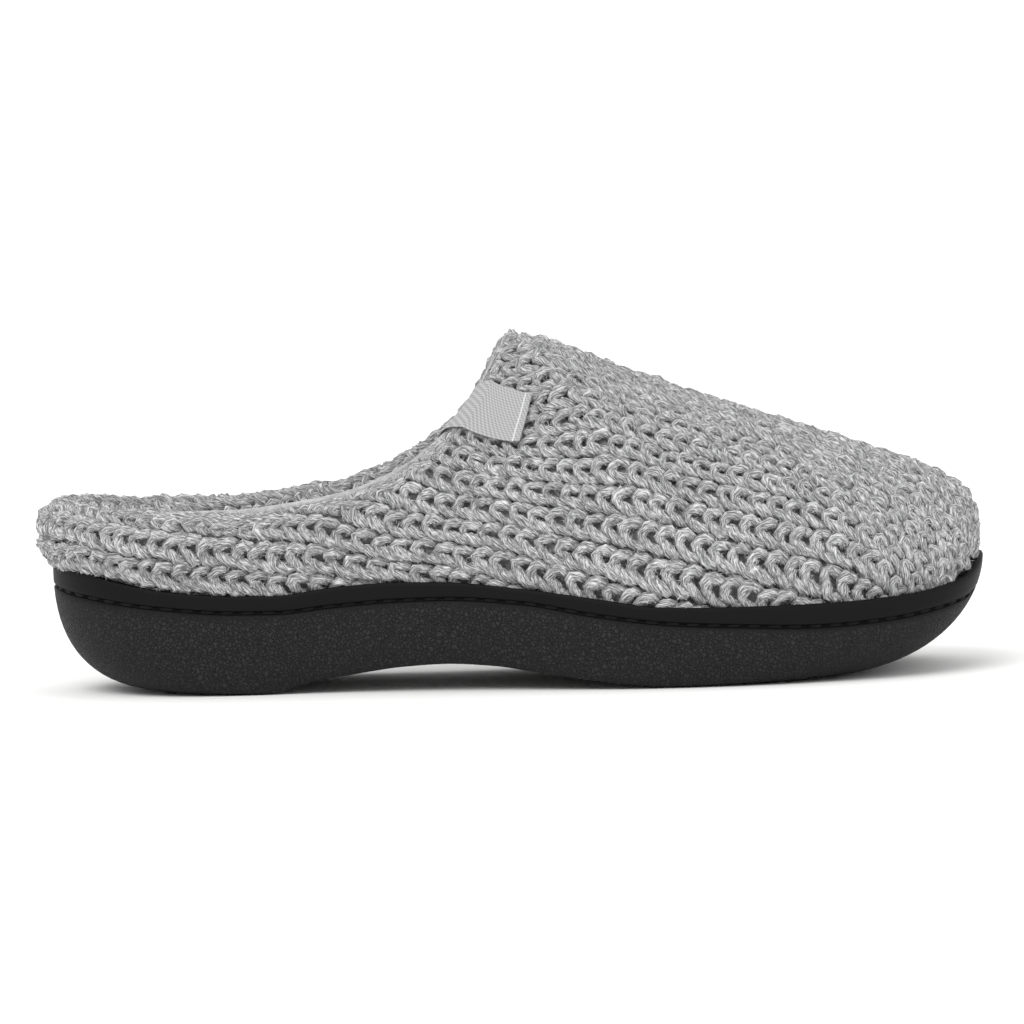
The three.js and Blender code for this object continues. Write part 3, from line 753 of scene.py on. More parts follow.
knit = {
    "course": 4.7, "wale": 7.7, "ridgeWale": 13, "inset": 2.3, "rollShare": 0.74, "sunk": 1.4,
    "yarn": 1.58, "bar": 1.12, "seed": 11, "loopPoints": 13, "barPoints": 4, "flutes": 8,
    "fluteDepth": 0.26, "twist": 1.5, "toeSlope": 2.2, "rollPitch": 8.8, "under": 4.0,
    "beyond": 0.16, "overhang": 0.9, "relax": 90, "wobble": 2.4, "uneven": 0.8,
    "spread": (0.76, 1.2), "stray": (0.045, 0.02), "courses": (0, 36, 108), "wales": (-3, 15),
    "strands": (0.92, 1.06), "wobbleScale": 330.0, "unevenScale": 260.0, "nearest": 0.3,
    "trust": (0.4, 1e4), "freeShares": (0.46, 0.74), "sinkRun": 0.08, "overAt": 2.5, "overWide": 6,
    "toeFrom": 200, "outlineSteps": 801,
}
waleChart = {  # number of ribs below a point: at the sole, halfway up, and at the collar or ridge
    "at": [0, 0.12, 0.2, 0.28, 0.36, 0.44, 0.52, 0.6, 0.68, 0.76, 0.84, 0.9, 0.95, 1],
    "foot": [-0.95, -1.0, -1.05, -0.95, -0.45, 0.33, 1.15, 1.75, 2.55, 3.4, 4.1, 5.0, 6.6, 9.0],
    "middle": [-0.35, -0.4, -0.25, 0, 0.6, 2.28, 4.2, 6.7, 7.1, 7.4, 8.1, 9.3, 10.6, 11.4],
    "top": [0.22, 0.22, 0.53, 0.95, 1.5, 3.7, 7.9, 13, 13, 13, 13, 13, 13, 13],
}
waleLine = {name: through(waleChart, name) for name in ("foot", "middle", "top")}
toeSlant = {"x": [0, 100, 160, 206, 234, 262], "down": [3, 6, 10, 18, 34, 62]}  # degrees of the ribs
chartSpan = {"courses": (-3.0, 112.0), "wales": (-4.0, 20.0), "margin": 0.02}
# half of a loop, from its rounded base: along, across, height and share of the yarn's radius
loopHalf = [(-0.45, 0, 0.9, 0.96), (-0.1, 0.95, 1.05, 0.98), (1.05, 2.0, 1.1, 1.03),
            (2.5, 2.55, 0.95, 1.05), (3.9, 2.6, 0.4, 1.0), (4.9, 2.3, -0.5, 0.9),
            (5.3, 1.9, -1.4, 0.8)]
purlBar = [(3.5, 2.3, -1.5), (3.2, 2.9, -0.7), (2.7, 3.85, -0.4), (2.2, 4.8, -0.7), (1.9, 5.4, -1.5)]

# rows of the surface that carries the stitches: below the wall, up it, and over its top
carry = {"under": 4, "wall": 33, "roll": 36, "back": 6, "heelOver": 4, "toeOver": 5,
         "rear": 96, "vamp": 64, "knitOver": 0.16, "easeTurns": 6}
wallFoot, wallTop = carry["under"], carry["under"] + carry["wall"]
wallSteps = np.linspace(0, 1, carry["wall"])
underSteps = np.linspace(knit["under"], 0, carry["under"] + 1)[:-1]
backSteps = 1 - knit["beyond"] * np.linspace(0, 1, carry["back"] + 1)[1:]

outlineX = alongAt(np.linspace(0, 1, knit["outlineSteps"]))
outlineStep = np.hypot(np.diff(outlineX), np.diff(halfWidth(-1, outlineX)))
outlineRun = np.concatenate([[0], np.cumsum(np.where(
    outlineX[1:] > knit["toeFrom"], np.minimum(outlineStep, knit["toeSlope"] * np.diff(outlineX)),
    outlineStep))])


def courseSteps(shares, grid, before=None):
    # distance along the rows, summed from the heel: by true length round the heel, then by x
    way = np.diff(grid, axis=0)
    level = np.hypot(way[..., 0], way[..., 1])
    x = (grid[1:, :, 0] + grid[:-1, :, 0]) / 2
    slope = np.interp(x, (outlineX[1:] + outlineX[:-1]) / 2, np.diff(outlineRun) / np.diff(outlineX))
    forward = ease("byX", shares[1:])[:, None]
    step = level + (way[..., 0] * slope - level) * forward
    first = np.zeros(grid.shape[1]) if before is None else before
    return np.vstack([first, first + np.cumsum(step, axis=0)])


def waleAt(share, up):
    foot, middle, top = (waleLine[name](share) for name in ("foot", "middle", "top"))
    return foot * (1 - up) * (1 - 2 * up) + middle * 4 * up * (1 - up) + top * up * (2 * up - 1)


def carrierColumn(side, share, isVamp):
    # one station of the surface that the stitches lie on: points and depth below the knit's face
    wallSpots = wallColumn(side, share, wallSteps)
    spots = [wallSpots[:1] - np.array([[0, 0, 1.0]]) * underSteps[:, None], wallSpots]
    if isVamp:
        # past the ridge the carrier goes on down the other side
        spots.append(wallColumn(-side, share, backSteps) * np.array([1, -1, 1]))
        deep = np.full(wallTop + carry["back"], knit["inset"])
    else:
        end = float(knitEndLine[side](share))
        g = 1 + (end + carry["knitOver"] - 1) * np.linspace(0, 1, carry["roll"] + 1)[1:]
        arc = collarArc(np.full(len(g), share), np.minimum(g - 1, 1))
        inner = wallColumn(side, share, np.clip(3 - g, 0, 1), True)
        spots.append(np.where((g > 2)[:, None], inner, arc))
        top = min(knit["inset"], knit["rollShare"] * rollRadius(share))
        flat = np.zeros(carry["under"])
        blend = np.concatenate([flat, ease("rollDepth", wallSteps), np.ones(len(g))])
        past = easeIn((np.concatenate([flat, wallSteps, g]) - end) / knit["sinkRun"])
        deep = knit["inset"] + (top - knit["inset"]) * blend + knit["sunk"] * past
    # just above the sole the fabric bulges over the lip
    row = np.arange(len(deep) - wallFoot)
    deep[wallFoot:] -= knit["overhang"] * np.exp(-(row - knit["overAt"]) ** 2 / knit["overWide"])
    return np.concatenate(spots), deep


def relaxWales(grid, wales, free, turns):
    # lets the ribs run smoothly over a fold of the parameters, by true distances
    weightAt = [1 / np.maximum(np.linalg.norm(np.diff(grid, axis=axis), axis=-1), knit["nearest"]) ** 2
                for axis in (0, 1)]
    whole, head, tail = slice(None), slice(None, -1), slice(1, None)
    for _ in range(turns):
        total, weight = np.zeros_like(wales), np.zeros_like(wales)
        for near, first, second in ((weightAt[0], (head, whole), (tail, whole)),
                                    (weightAt[1], (whole, head), (whole, tail))):
            for one, other in ((second, first), (first, second)):
                total[one] += wales[other] * near
                weight[one] += near
        wales = np.where(free, 0.5 * wales + 0.5 * total / weight, wales)
    return wales


def chartSpot(courses, wales):
    # a place in the chart as a fraction of its whole, with a margin
    margin = chartSpan["margin"]
    return [margin + (1 - 2 * margin) * (value - low) / (high - low)
            for value, (low, high) in ((courses, chartSpan["courses"]), (wales, chartSpan["wales"]))]


def settleChart(grid, guide, rate, trust):
    # least squares: steps follow the wanted rate, values keep to the guide where trusted
    index = np.arange(guide.size).reshape(guide.shape)
    matrix = np.diag(trust.ravel())
    right = (trust * guide).ravel()
    whole, head, tail = slice(None), slice(None, -1), slice(1, None)
    for first, second in (((head, whole), (tail, whole)), ((whole, head), (whole, tail))):
        way = grid[second] - grid[first]
        weight = (1 / np.maximum(np.sum(way * way, axis=-1), knit["nearest"])).ravel()
        step = weight * np.sum((rate[first] + rate[second]) / 2 * way, axis=-1).ravel()
        i, j = index[first].ravel(), index[second].ravel()
        for row, column, sign in ((i, i, 1), (j, j, 1), (i, j, -1), (j, i, -1)):
            np.add.at(matrix, (row, column), sign * weight)
        np.add.at(right, j, step)
        np.add.at(right, i, -step)
    return np.linalg.solve(matrix, right).reshape(guide.shape)


def settleToe(shares, grid, courses, wales):
    # even stitches over the toe: ribs slant down to the sole, the middle rib runs down the front
    out = unit(np.cross(np.gradient(grid, axis=1), np.gradient(grid, axis=0)))
    angle = np.radians(np.interp(grid[..., 0], toeSlant["x"], toeSlant["down"]))
    ahead = stack(np.cos(angle), 0 * angle, -np.sin(angle))
    ahead = unit(ahead - out * np.sum(out * ahead, axis=-1, keepdims=True))
    upward = np.cross(ahead, out)
    loose, fixed = knit["trust"]
    known = np.repeat(loose * (1 - ease("settled", shares))[:, None], grid.shape[1], axis=1)
    known[0] = fixed
    coursesNow = settleChart(grid, courses, ahead / knit["course"], known)
    known[:, -1] = known[-1] = fixed
    guide = wales.copy()
    guide[:, -1] = guide[-1] = knit["ridgeWale"]
    return coursesNow, settleChart(grid, guide, upward / knit["wale"], known)


def sideCharts(side):
    # the heel's and the vamp's grid of one side, with depth, courses and wales at every point
    last = carry["rear"]
    rear = np.linspace(0, size["throatShare"], last + 1)
    vamp = np.linspace(size["throatShare"], 1, carry["vamp"] + 1)
    grids, deeps = [], []
    for shares, isVamp in ((rear, False), (vamp, True)):
        columns = [carrierColumn(side, share, isVamp) for share in shares]
        grids.append(np.array([column[0] for column in columns]))
        deeps.append(np.array([column[1] for column in columns]))
    # ribs on the wall of the whole side, eased past the throat
    onWall = slice(wallFoot, wallTop)
    wall = np.concatenate([grids[0][:, onWall], grids[1][1:, onWall]])
    shares = np.concatenate([rear, vamp[1:]])
    wales = waleAt(shares[:, None], wallSteps[None, :])
    free = np.zeros(wales.shape, bool)
    freeFrom, freeTo = knit["freeShares"]
    free[(shares > freeFrom) & (shares < freeTo), 1:-1] = True
    wales = relaxWales(wall, wales, free, knit["relax"])
    rearCourses = courseSteps(rear, grids[0]) / knit["course"]
    ahead = courseSteps(vamp, grids[1][:, :wallTop], rearCourses[-1, :wallTop] * knit["course"])
    onVamp, wales[last:] = settleToe(vamp, grids[1][:, onWall], ahead[:, wallFoot:] / knit["course"],
                                     wales[last:])
    low = wales[:, :1] - underSteps / knit["wale"]
    rollRun = np.cumsum(np.linalg.norm(np.diff(grids[0][:, wallTop - 1:], axis=1), axis=2), axis=1)
    fade = (1 - ease("offRoll", rear))[:, None]
    onRoll = wales[:last + 1, -1:] + rollRun * fade / knit["rollPitch"]
    rearWales = np.hstack([low[:last + 1], wales[:last + 1], onRoll])
    across = np.array([np.interp(backSteps, wallSteps, row) for row in wales[last:]])
    vampWales = np.hstack([low[last:], wales[last:], 2 * knit["ridgeWale"] - across])
    vampCourses = np.hstack([np.repeat(onVamp[:, :1], carry["under"], axis=1), onVamp,
                             [np.interp(backSteps, wallSteps, row) for row in onVamp]])
    return ((grids[0], deeps[0], rearCourses, rearWales),
            (grids[1], deeps[1], vampCourses, vampWales))


def addCarrier(side):
    fields = {"out": [], "chart": [], "spread": [], "own": []}
    spots, faces, start = [], [], 0
    for isVamp, (grid, deep, courses, wales) in enumerate(sideCharts(side)):
        own = np.ones(wales.shape)
        grid = place(side, grid)
        # the other half's first columns carry on past the heel's and the toe's middle
        if isVamp:
            own[:, wallTop:] = 0
            middle, more = grid[-1:, :1] * np.array([0, 1, 0]), slice(-2, -2 - carry["toeOver"], -1)
            beyond = [courses[more].copy(), 2 * wales[-1:] - wales[more]]
        else:
            middle, more = place(side, np.zeros(3)), slice(carry["heelOver"], 0, -1)
            beyond = [-courses[more], wales[more]]
        mirrored = (grid[more] - middle) * np.array([1, -1, 1]) + middle
        extra = [mirrored, *beyond, deep[more], 0 * own[more]]
        if isVamp:
            for field in extra[:3]:
                field[:, wallTop:] = field[:, wallTop - 1:wallTop]
        whole = [grid, courses, wales, deep, own]
        pairs = zip(whole, extra) if isVamp else zip(extra, whole)
        grid, courses, wales, deep, own = (np.concatenate(pair) for pair in pairs)
        area = np.cross(np.gradient(grid, axis=0), np.gradient(grid, axis=1))
        out = unit(area) * -side
        chartArea = np.abs(np.gradient(courses, axis=0) * np.gradient(wales, axis=1)
                           - np.gradient(courses, axis=1) * np.gradient(wales, axis=0))
        ratio = np.linalg.norm(area, axis=2) / np.maximum(chartArea, 1e-6)
        spread = np.clip(np.sqrt(ratio / (knit["course"] * knit["wale"])), *knit["spread"])
        for _ in range(carry["easeTurns"]):
            spread[1:-1, 1:-1] = (spread[1:-1, 1:-1] + spread[:-2, 1:-1] + spread[2:, 1:-1]
                                  + spread[1:-1, :-2] + spread[1:-1, 2:]) / 5
        u, v = chartSpot(courses, wales)
        made = gridFaces(*grid.shape[:2], start=start, flip=side > 0)
        if isVamp:
            # the corner where both overlaps would meet stays open
            station, row = np.divmod(made.min(axis=1) - start, grid.shape[1])
            made = made[(station < carry["vamp"]) | (row < wallTop - 1)]
        faces.append(made)
        start += grid.shape[0] * grid.shape[1]
        spots.append((grid - out * deep[..., None]).reshape(-1, 3))
        for title, field in (("out", out.reshape(-1, 3)), ("spread", spread.ravel()),
                             ("chart", stack(u, v, 0).reshape(-1, 3)), ("own", own.ravel())):
            fields[title].append(field)
    return addMesh("carrier", toFrame(np.concatenate(spots)), np.concatenate(faces), None,
                   {title: np.concatenate(parts) for title, parts in fields.items()})


def addStitchPath():
    # centre lines of one stitch in chart units: the loop and the purl bar beside it
    origin = chartSpot(0, 0)
    unitC, unitW = chartSpot(1, 0)[0] - origin[0], chartSpot(0, 1)[1] - origin[1]
    loop = [(along, -across, *rest) for along, across, *rest in reversed(loopHalf[1:])] + loopHalf
    bar = [(*point, 1.0) for point in purlBar]
    points, edges, marks = [], [], {"lift": [], "thick": [], "samples": []}
    for line, radius, count in ((loop, knit["yarn"], knit["loopPoints"]),
                                (bar, knit["bar"], knit["barPoints"])):
        first = len(points)
        for along, across, height, share in line:
            points.append((along / knit["course"] * unitC, across / knit["wale"] * unitW, height * mm))
            marks["lift"].append(height)
            marks["thick"].append(radius * share * mm)
            marks["samples"].append(count)
        edges += [(k, k + 1) for k in range(first, len(points) - 1)]
    return addMesh("stitch path", points, attributes=marks, edges=edges)


def addFlute():
    # section of the yarn: a ring of strands
    count = 2 * knit["flutes"]
    angle = 2 * np.pi * np.arange(count) / count
    random = np.random.default_rng(knit["seed"])
    radius = np.where(np.arange(count) % 2, 1 - knit["fluteDepth"], 1)
    radius = radius * random.uniform(*knit["strands"], count)
    return addMesh("yarn section", stack(radius * np.cos(angle), radius * np.sin(angle), 0),
                   attributes={"strand": stack(np.cos(angle), np.sin(angle), 0)},
                   edges=[(k, (k + 1) % count) for k in range(count)])


def newTree(name, *inputs):
    tree = bpy.data.node_groups.new(name, "GeometryNodeTree")
    for title, kind in inputs:
        tree.interface.new_socket(title, in_out="INPUT", socket_type="NodeSocket" + kind)
    tree.interface.new_socket("Result", in_out="OUTPUT", socket_type="NodeSocketGeometry")
    return tree, tree.nodes.new("NodeGroupInput").outputs, adder(tree, "GeometryNode")


def closeTree(tree, geometry, material):
    done = addNode(tree, "GeometryNodeSetMaterial", {"Geometry": geometry, "Material": material})
    tree.links.new(done.outputs[0], tree.nodes.new("NodeGroupOutput").inputs[0])
    return tree


def meshOf(tree, source):
    return addNode(tree, "GeometryNodeObjectInfo", {"Object": source}).outputs["Geometry"]


def named(tree, title, kind="FLOAT"):
    return addNode(tree, "GeometryNodeInputNamedAttribute", {"Name": title},
                   data_type=kind).outputs["Attribute"]


def grow(piece, tree, **values):
    # runs a tree on a piece and keeps what it makes
    modifier = piece.modifiers.new(tree.name, "NODES")
    modifier.node_group = tree
    for socket in tree.interface.items_tree:
        if socket.in_out == "INPUT" and socket.name in values:
            modifier[socket.identifier] = values[socket.name]
    bakeModifiers(piece)


def knitTree():
    tree, given, geo = newTree(
        "stitches on a surface", ("Chart", "Geometry"), ("Carrier", "Object"), ("Stitch", "Object"),
        ("Section", "Object"), ("Twist", "Float"), ("Middle", "Vector"), ("Wobble", "Float"),
        ("Uneven", "Float"), ("Yarn", "Material"))
    shade, logic = adder(tree, "ShaderNode"), adder(tree, "FunctionNode")
    carrier, stitch, section = (meshOf(tree, given[name]) for name in ("Carrier", "Stitch", "Section"))
    chart, spot = named(tree, "chart", "FLOAT_VECTOR"), geo("InputPosition")
    parts = addNode(tree, "ShaderNodeSeparateXYZ", {0: spot}).outputs
    flat = shade("CombineXYZ", {"X": parts[0], "Y": parts[1]})

    def sampled(value, kind="FLOAT", at=flat):
        return addNode(tree, "GeometryNodeSampleUVSurface",
                       {"Mesh": carrier, "Value": value, "UV Map": chart, "Sample UV": at},
                       data_type=kind).outputs

    # stitches whose middle lies in an overlap, or off the carrier, are left to the other half
    owned = sampled(named(tree, "own"), at=vectors(tree, "ADD", spot, given["Middle"]))
    foreign = logic("Compare", {0: owned["Value"], 1: 0.5}, operation="LESS_THAN")
    missed = logic("BooleanMath", {0: owned["Is Valid"]}, operation="NOT")
    left = logic("BooleanMath", {0: foreign, 1: missed}, operation="OR")
    points = geo("DeleteGeometry", {"Geometry": given["Chart"], "Selection": left}, domain="POINT")
    real = geo("RealizeInstances", {"Geometry": geo("InstanceOnPoints",
                                                    {"Points": points, "Instance": stitch})})
    where = sampled(spot, "FLOAT_VECTOR")
    outside = logic("BooleanMath", {0: where["Is Valid"]}, operation="NOT")
    kept = geo("DeleteGeometry", {"Geometry": real, "Selection": outside}, domain="POINT")
    spread = sampled(named(tree, "spread"))["Value"]
    sized = geo("StoreNamedAttribute",
                {"Geometry": kept, "Name": "thick",
                 "Value": sums(tree, "MULTIPLY", named(tree, "thick"), spread)},
                data_type="FLOAT", domain="POINT")
    outward = sampled(named(tree, "out", "FLOAT_VECTOR"), "FLOAT_VECTOR")["Value"]
    raised = vectors(tree, "SCALE", outward, Scale=sums(tree, "MULTIPLY", parts[2], spread))
    laid = geo("SetPosition", {"Geometry": sized,
                               "Position": vectors(tree, "ADD", where["Value"], raised)})
    smooth = geo("CurveSplineType", {"Curve": geo("MeshToCurve", {"Mesh": laid})},
                 spline_type="CATMULL_ROM")
    even = geo("ResampleCurve", {"Curve": smooth, "Count": named(tree, "samples")}, mode="COUNT")
    # hand-made unevenness: the path wanders and the yarn thickens and thins
    drift = shade("TexNoise", {"Vector": spot, "Scale": knit["wobbleScale"], "Detail": 1.0}, "Color")
    aside = vectors(tree, "SUBTRACT", drift, (0.5, 0.5, 0.5))
    wandering = geo("SetPosition", {"Geometry": even, "Offset": vectors(tree, "SCALE", aside,
                                                                        Scale=given["Wobble"])})
    swell = shade("TexNoise", {"Vector": spot, "Scale": knit["unevenScale"], "Detail": 0.0}, "Fac")
    swollen = sums(tree, "MULTIPLY_ADD", sums(tree, "SUBTRACT", swell, 0.5), given["Uneven"], 1.0)
    gauge = sums(tree, "MULTIPLY", named(tree, "thick"), swollen)
    length = geo("SplineParameter", socket="Length")
    turned = geo("SetCurveTilt", {"Curve": wandering,
                                  "Tilt": sums(tree, "MULTIPLY", length, given["Twist"])})
    marked = geo("StoreNamedAttribute",
                 {"Geometry": turned, "Name": "along", "Value": sums(tree, "MULTIPLY", length, 1000.0)},
                 data_type="FLOAT", domain="POINT")
    ring = geo("MeshToCurve", {"Mesh": section})
    tube = geo("CurveToMesh", {"Curve": marked, "Profile Curve": ring, "Scale": gauge,
                               "Fill Caps": True})
    return closeTree(tree, geo("SetShadeSmooth", {"Geometry": tube}), given["Yarn"])


def addKnit(name, carrier, first, last, seed):
    random = np.random.default_rng(seed)
    courses, wales = np.meshgrid(np.arange(first, last), np.arange(*knit["wales"]), indexing="ij")
    courses, wales = courses.ravel(), wales.ravel()
    strayC, strayW = (random.normal(0, reach, len(courses)) for reach in knit["stray"])
    u, v = chartSpot(courses + strayC, wales + 0.5 + strayW)
    piece = addMesh(name, stack(u, v, 0), attributes={"tone": random.random(len(courses))})
    grow(piece, stitchTree, Carrier=carrier, Stitch=stitchPath, Section=flute,
         Twist=knit["twist"] / (knit["course"] * mm), Middle=stitchMiddle,
         Wobble=knit["wobble"] * mm, Uneven=knit["uneven"], Yarn=finish["wool"])
    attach(piece, root)
    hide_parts("upper")
    print(name, triangles(piece))
    return piece


stitchMiddle = (chartSpot(0.5, 0)[0] - chartSpot(0, 0)[0], 0, 0)
stitchPath, flute, stitchTree = addStitchPath(), addFlute(), knitTree()
heelFirst, toeFirst, toeLast = knit["courses"]
knitPieces = {}
for side, title in ((-1, "outer"), (1, "inner")):
    carrier, seed = addCarrier(side), knit["seed"] + side
    knitPieces[title] = [addKnit("knit_%s_heel" % title, carrier, heelFirst, toeFirst, seed),
                         addKnit("knit_%s_toe" % title, carrier, toeFirst, toeLast, seed + 5)]
    bpy.data.objects.remove(carrier)
bpy.data.objects.remove(stitchPath)
bpy.data.objects.remove(flute)


# loose fibres stand off the yarn
fuzz = {"length": 1.7, "width": 0.11, "density": 480000, "seed": 3, "toneSeed": 9, "above": 0.1,
        "size": (0.35, 1.15), "turn": (1.0, 1.0, 3.14)}


def addHair():
    # one bent hair, two faces long
    wide, tall = fuzz["width"] / 2 * mm, fuzz["length"] * mm
    points = [(-wide, 0, -0.1 * tall), (wide, 0, -0.1 * tall), (-0.8 * wide, 0.1 * tall, 0.45 * tall),
              (0.8 * wide, 0.1 * tall, 0.45 * tall), (0, 0.42 * tall, 0.8 * tall)]
    return addMesh("hair", points, [(0, 1, 3, 2), (2, 3, 4)])


def fuzzTree():
    tree, given, geo = newTree(
        "hairs on yarn", ("Base", "Geometry"), ("First", "Object"), ("Second", "Object"),
        ("Hair", "Object"), ("Density", "Float"), ("Seed", "Int"), ("Fibre", "Material"))
    logic = adder(tree, "FunctionNode")
    first, second, hair = (meshOf(tree, given[name]) for name in ("First", "Second", "Hair"))
    yarn = geo("JoinGeometry", {0: [first, second]})
    high = logic("Compare", {0: named(tree, "lift"), 1: fuzz["above"]}, operation="GREATER_THAN")
    grown = addNode(tree, "GeometryNodeDistributePointsOnFaces",
                    {"Mesh": yarn, "Selection": high, "Density": given["Density"],
                     "Seed": given["Seed"]}).outputs
    low, top = tuple(-value for value in fuzz["turn"]), fuzz["turn"]
    tilt = logic("RandomValue", {0: low, 1: top, "Seed": given["Seed"]}, data_type="FLOAT_VECTOR")
    turn = logic("RotateRotation", {0: grown["Rotation"], 1: tilt}, rotation_space="LOCAL")
    scale = logic("RandomValue", {2: fuzz["size"][0], 3: fuzz["size"][1], "Seed": given["Seed"]}, 1,
                  data_type="FLOAT")
    placed = geo("InstanceOnPoints", {"Points": grown["Points"], "Instance": hair, "Rotation": turn,
                                      "Scale": scale})
    tone = logic("RandomValue", {2: 0.0, 3: 1.0, "Seed": fuzz["toneSeed"]}, 1, data_type="FLOAT")
    toned = geo("StoreNamedAttribute", {"Geometry": placed, "Name": "tone", "Value": tone},
                data_type="FLOAT", domain="INSTANCE")
    return closeTree(tree, geo("RealizeInstances", {"Geometry": toned}), given["Fibre"])


hair, hairTree = addHair(), fuzzTree()
for title, (heelPart, toePart) in knitPieces.items():
    hairs = addMesh("fibres_" + title, [(0, 0, 0.05)])
    grow(hairs, hairTree, First=heelPart, Second=toePart, Hair=hair, Density=fuzz["density"],
         Seed=fuzz["seed"], Fibre=finish["fibre"])
    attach(hairs, root)
    print(hairs.name, triangles(hairs))
bpy.data.objects.remove(hair)


# ---- rubber cupsole

sole = {
    "stations": 200, "sideRows": 18, "rimRows": 4, "acrossRows": 9, "treadGap": 2.2,
    "treadDepth": 1.2, "gaps": [0.145, 0.22, 0.5, 0.54, 0.58, 0.62, 0.66, 0.74, 0.775, 0.81],
    "groove": [(-0.85, 0), (-0.62, 0.07), (-0.48, 0.34), (-0.36, 0.74), (0, 0.95), (0.36, 0.74),
               (0.48, 0.34), (0.62, 0.07), (0.85, 0)],  # height and depth across the channel
    "lip": [(0.12, 0.12), (0.4, 0), (1.3, 0), (size["lipWidth"], 0)],  # inset and fall of the rim
    "cup": (0.35, 0.7, 1), "edgeLeft": 5, "sharp": 38,
}


def soleFoot(side, share):
    # the rim at a station, and below it the tread's edge: where it is, its height and its curve
    rim = edgePoint(side, share)
    patchAlong = size["soleLength"] * (tread["start"] + (tread["end"] - tread["start"])
                                       * rim[..., 0] / size["soleLength"])
    return rim, patchAlong, underHeight(patchAlong), edgeFull(share)


def soleSidePoint(side, share, height, inset):
    # a point of the side wall at a height, set in from it
    (rim, patchAlong, base, full), normal = soleFoot(side, share), edgeNormal(side, share)
    lip = lipHeight(share)
    drop = np.clip((lip - height) / (lip - base), 0, 1)
    spread = (1 - drop ** full) ** (1 / full)
    wide = tread["narrow"] + (1 - tread["narrow"]) * spread
    return stack(patchAlong + (rim[..., 0] - patchAlong) * spread - normal[..., 0] * inset,
                 rim[..., 1] * wide - normal[..., 1] * inset, height)


def soleRows(side, share):
    # from the tread's edge up the grained side, over the channel and the rim, down into the cup
    lip, middle = lipHeight(share), size["soleHeight"] * channelLine(share)
    _, _, base, full = soleFoot(side, share)
    groove = sole["groove"]
    begin = np.arcsin(((lip - middle - groove[0][0]) / (lip - base)) ** (full / 2))
    rows = []
    for step in np.linspace(0, 1, sole["sideRows"], endpoint=False):
        turn = np.pi / 2 + (begin - np.pi / 2) * step
        rows.append(soleSidePoint(side, share, lip + (base - lip) * np.sin(turn) ** (2 / full), 0))
    rows += [soleSidePoint(side, share, middle + rise, inset) for rise, inset in groove]
    high = middle + groove[-1][0]
    for step in np.linspace(0, 1, sole["rimRows"] + 1)[1:]:
        rows.append(soleSidePoint(side, share, high + (lip - size["lipBevel"] - high) * step, 0))
    for inset, fall in sole["lip"]:
        spot = insetPoint(side, share, inset)
        rows.append(stack(spot[..., 0], spot[..., 1], lip - fall))
    x, y = np.moveaxis(insetPoint(side, share, size["lipWidth"]), -1, 0)
    rows += [stack(x, y, lip + (seatHeight(x) - lip) * step) for step in sole["cup"]]
    return place(side, np.stack(rows, axis=1))


def treadCutter():
    bars = bmesh.new()
    for share in sole["gaps"]:
        along = share * size["soleLength"]
        spot = toFrame([along, 0, float(underHeight(along))])
        low, high = (side * (float(halfWidth(side, np.array(along))) * tread["narrow"]
                             - sole["edgeLeft"]) for side in (-1, 1))
        made = bmesh.ops.create_cube(bars, size=1)["verts"]
        bmesh.ops.scale(bars, verts=made, vec=(sole["treadGap"] * mm, (high - low) * mm,
                                               2 * sole["treadDepth"] * mm))
        bmesh.ops.translate(bars, verts=made, vec=(spot[0], spot[1] + (high + low) / 2 * mm, spot[2]))
    mesh = bpy.data.meshes.new("tread gaps")
    bars.to_mesh(mesh)
    bars.free()
    return addObject("tread gaps", mesh)


def addSole():
    shares = np.linspace(0, 1, sole["stations"] + 1)
    outer, inner = soleRows(-1, shares), soleRows(1, shares)
    bottom, top = (spanAcross(outer, inner, row, sole["acrossRows"]) for row in (0, -1))
    points, faces = joinGrids([outer, inner, bottom, top], [True, False, False, True])
    zones = (np.arange(outer.shape[1]) >= sole["sideRows"]) * 1.0
    count = bottom.shape[0] * bottom.shape[1]
    zone = np.concatenate([np.tile(zones, 2 * len(shares)), np.zeros(count), np.ones(count)])
    piece = addMesh("sole", toFrame(points), faces, finish["rubber"], {"zone": zone})
    tidyMesh(piece)
    cutter = treadCutter()
    cut = piece.modifiers.new("tread", "BOOLEAN")
    cut.operation, cut.solver, cut.object = "DIFFERENCE", "EXACT", cutter
    bakeModifiers(piece)
    bpy.data.objects.remove(cutter)
    sharpen(piece, sole["sharp"])
    return piece


rubber = addSole()
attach(rubber, root)
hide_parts("outsole")
print("sole", triangles(rubber))


# the sole is sewn on: doubled thread lies in the channel
seam = {"pitch": 5.6, "length": 4.7, "radius": 0.24, "apart": 0.4, "inset": 0.5, "sides": 7,
        "rings": 9, "dive": 1.3, "sway": 0.12, "stray": 0.1, "seed": 5, "samples": 900,
        "start": 0.012, "end": 0.988, "diveShape": 5, "bow": 1.6, "twist": (60, 6)}


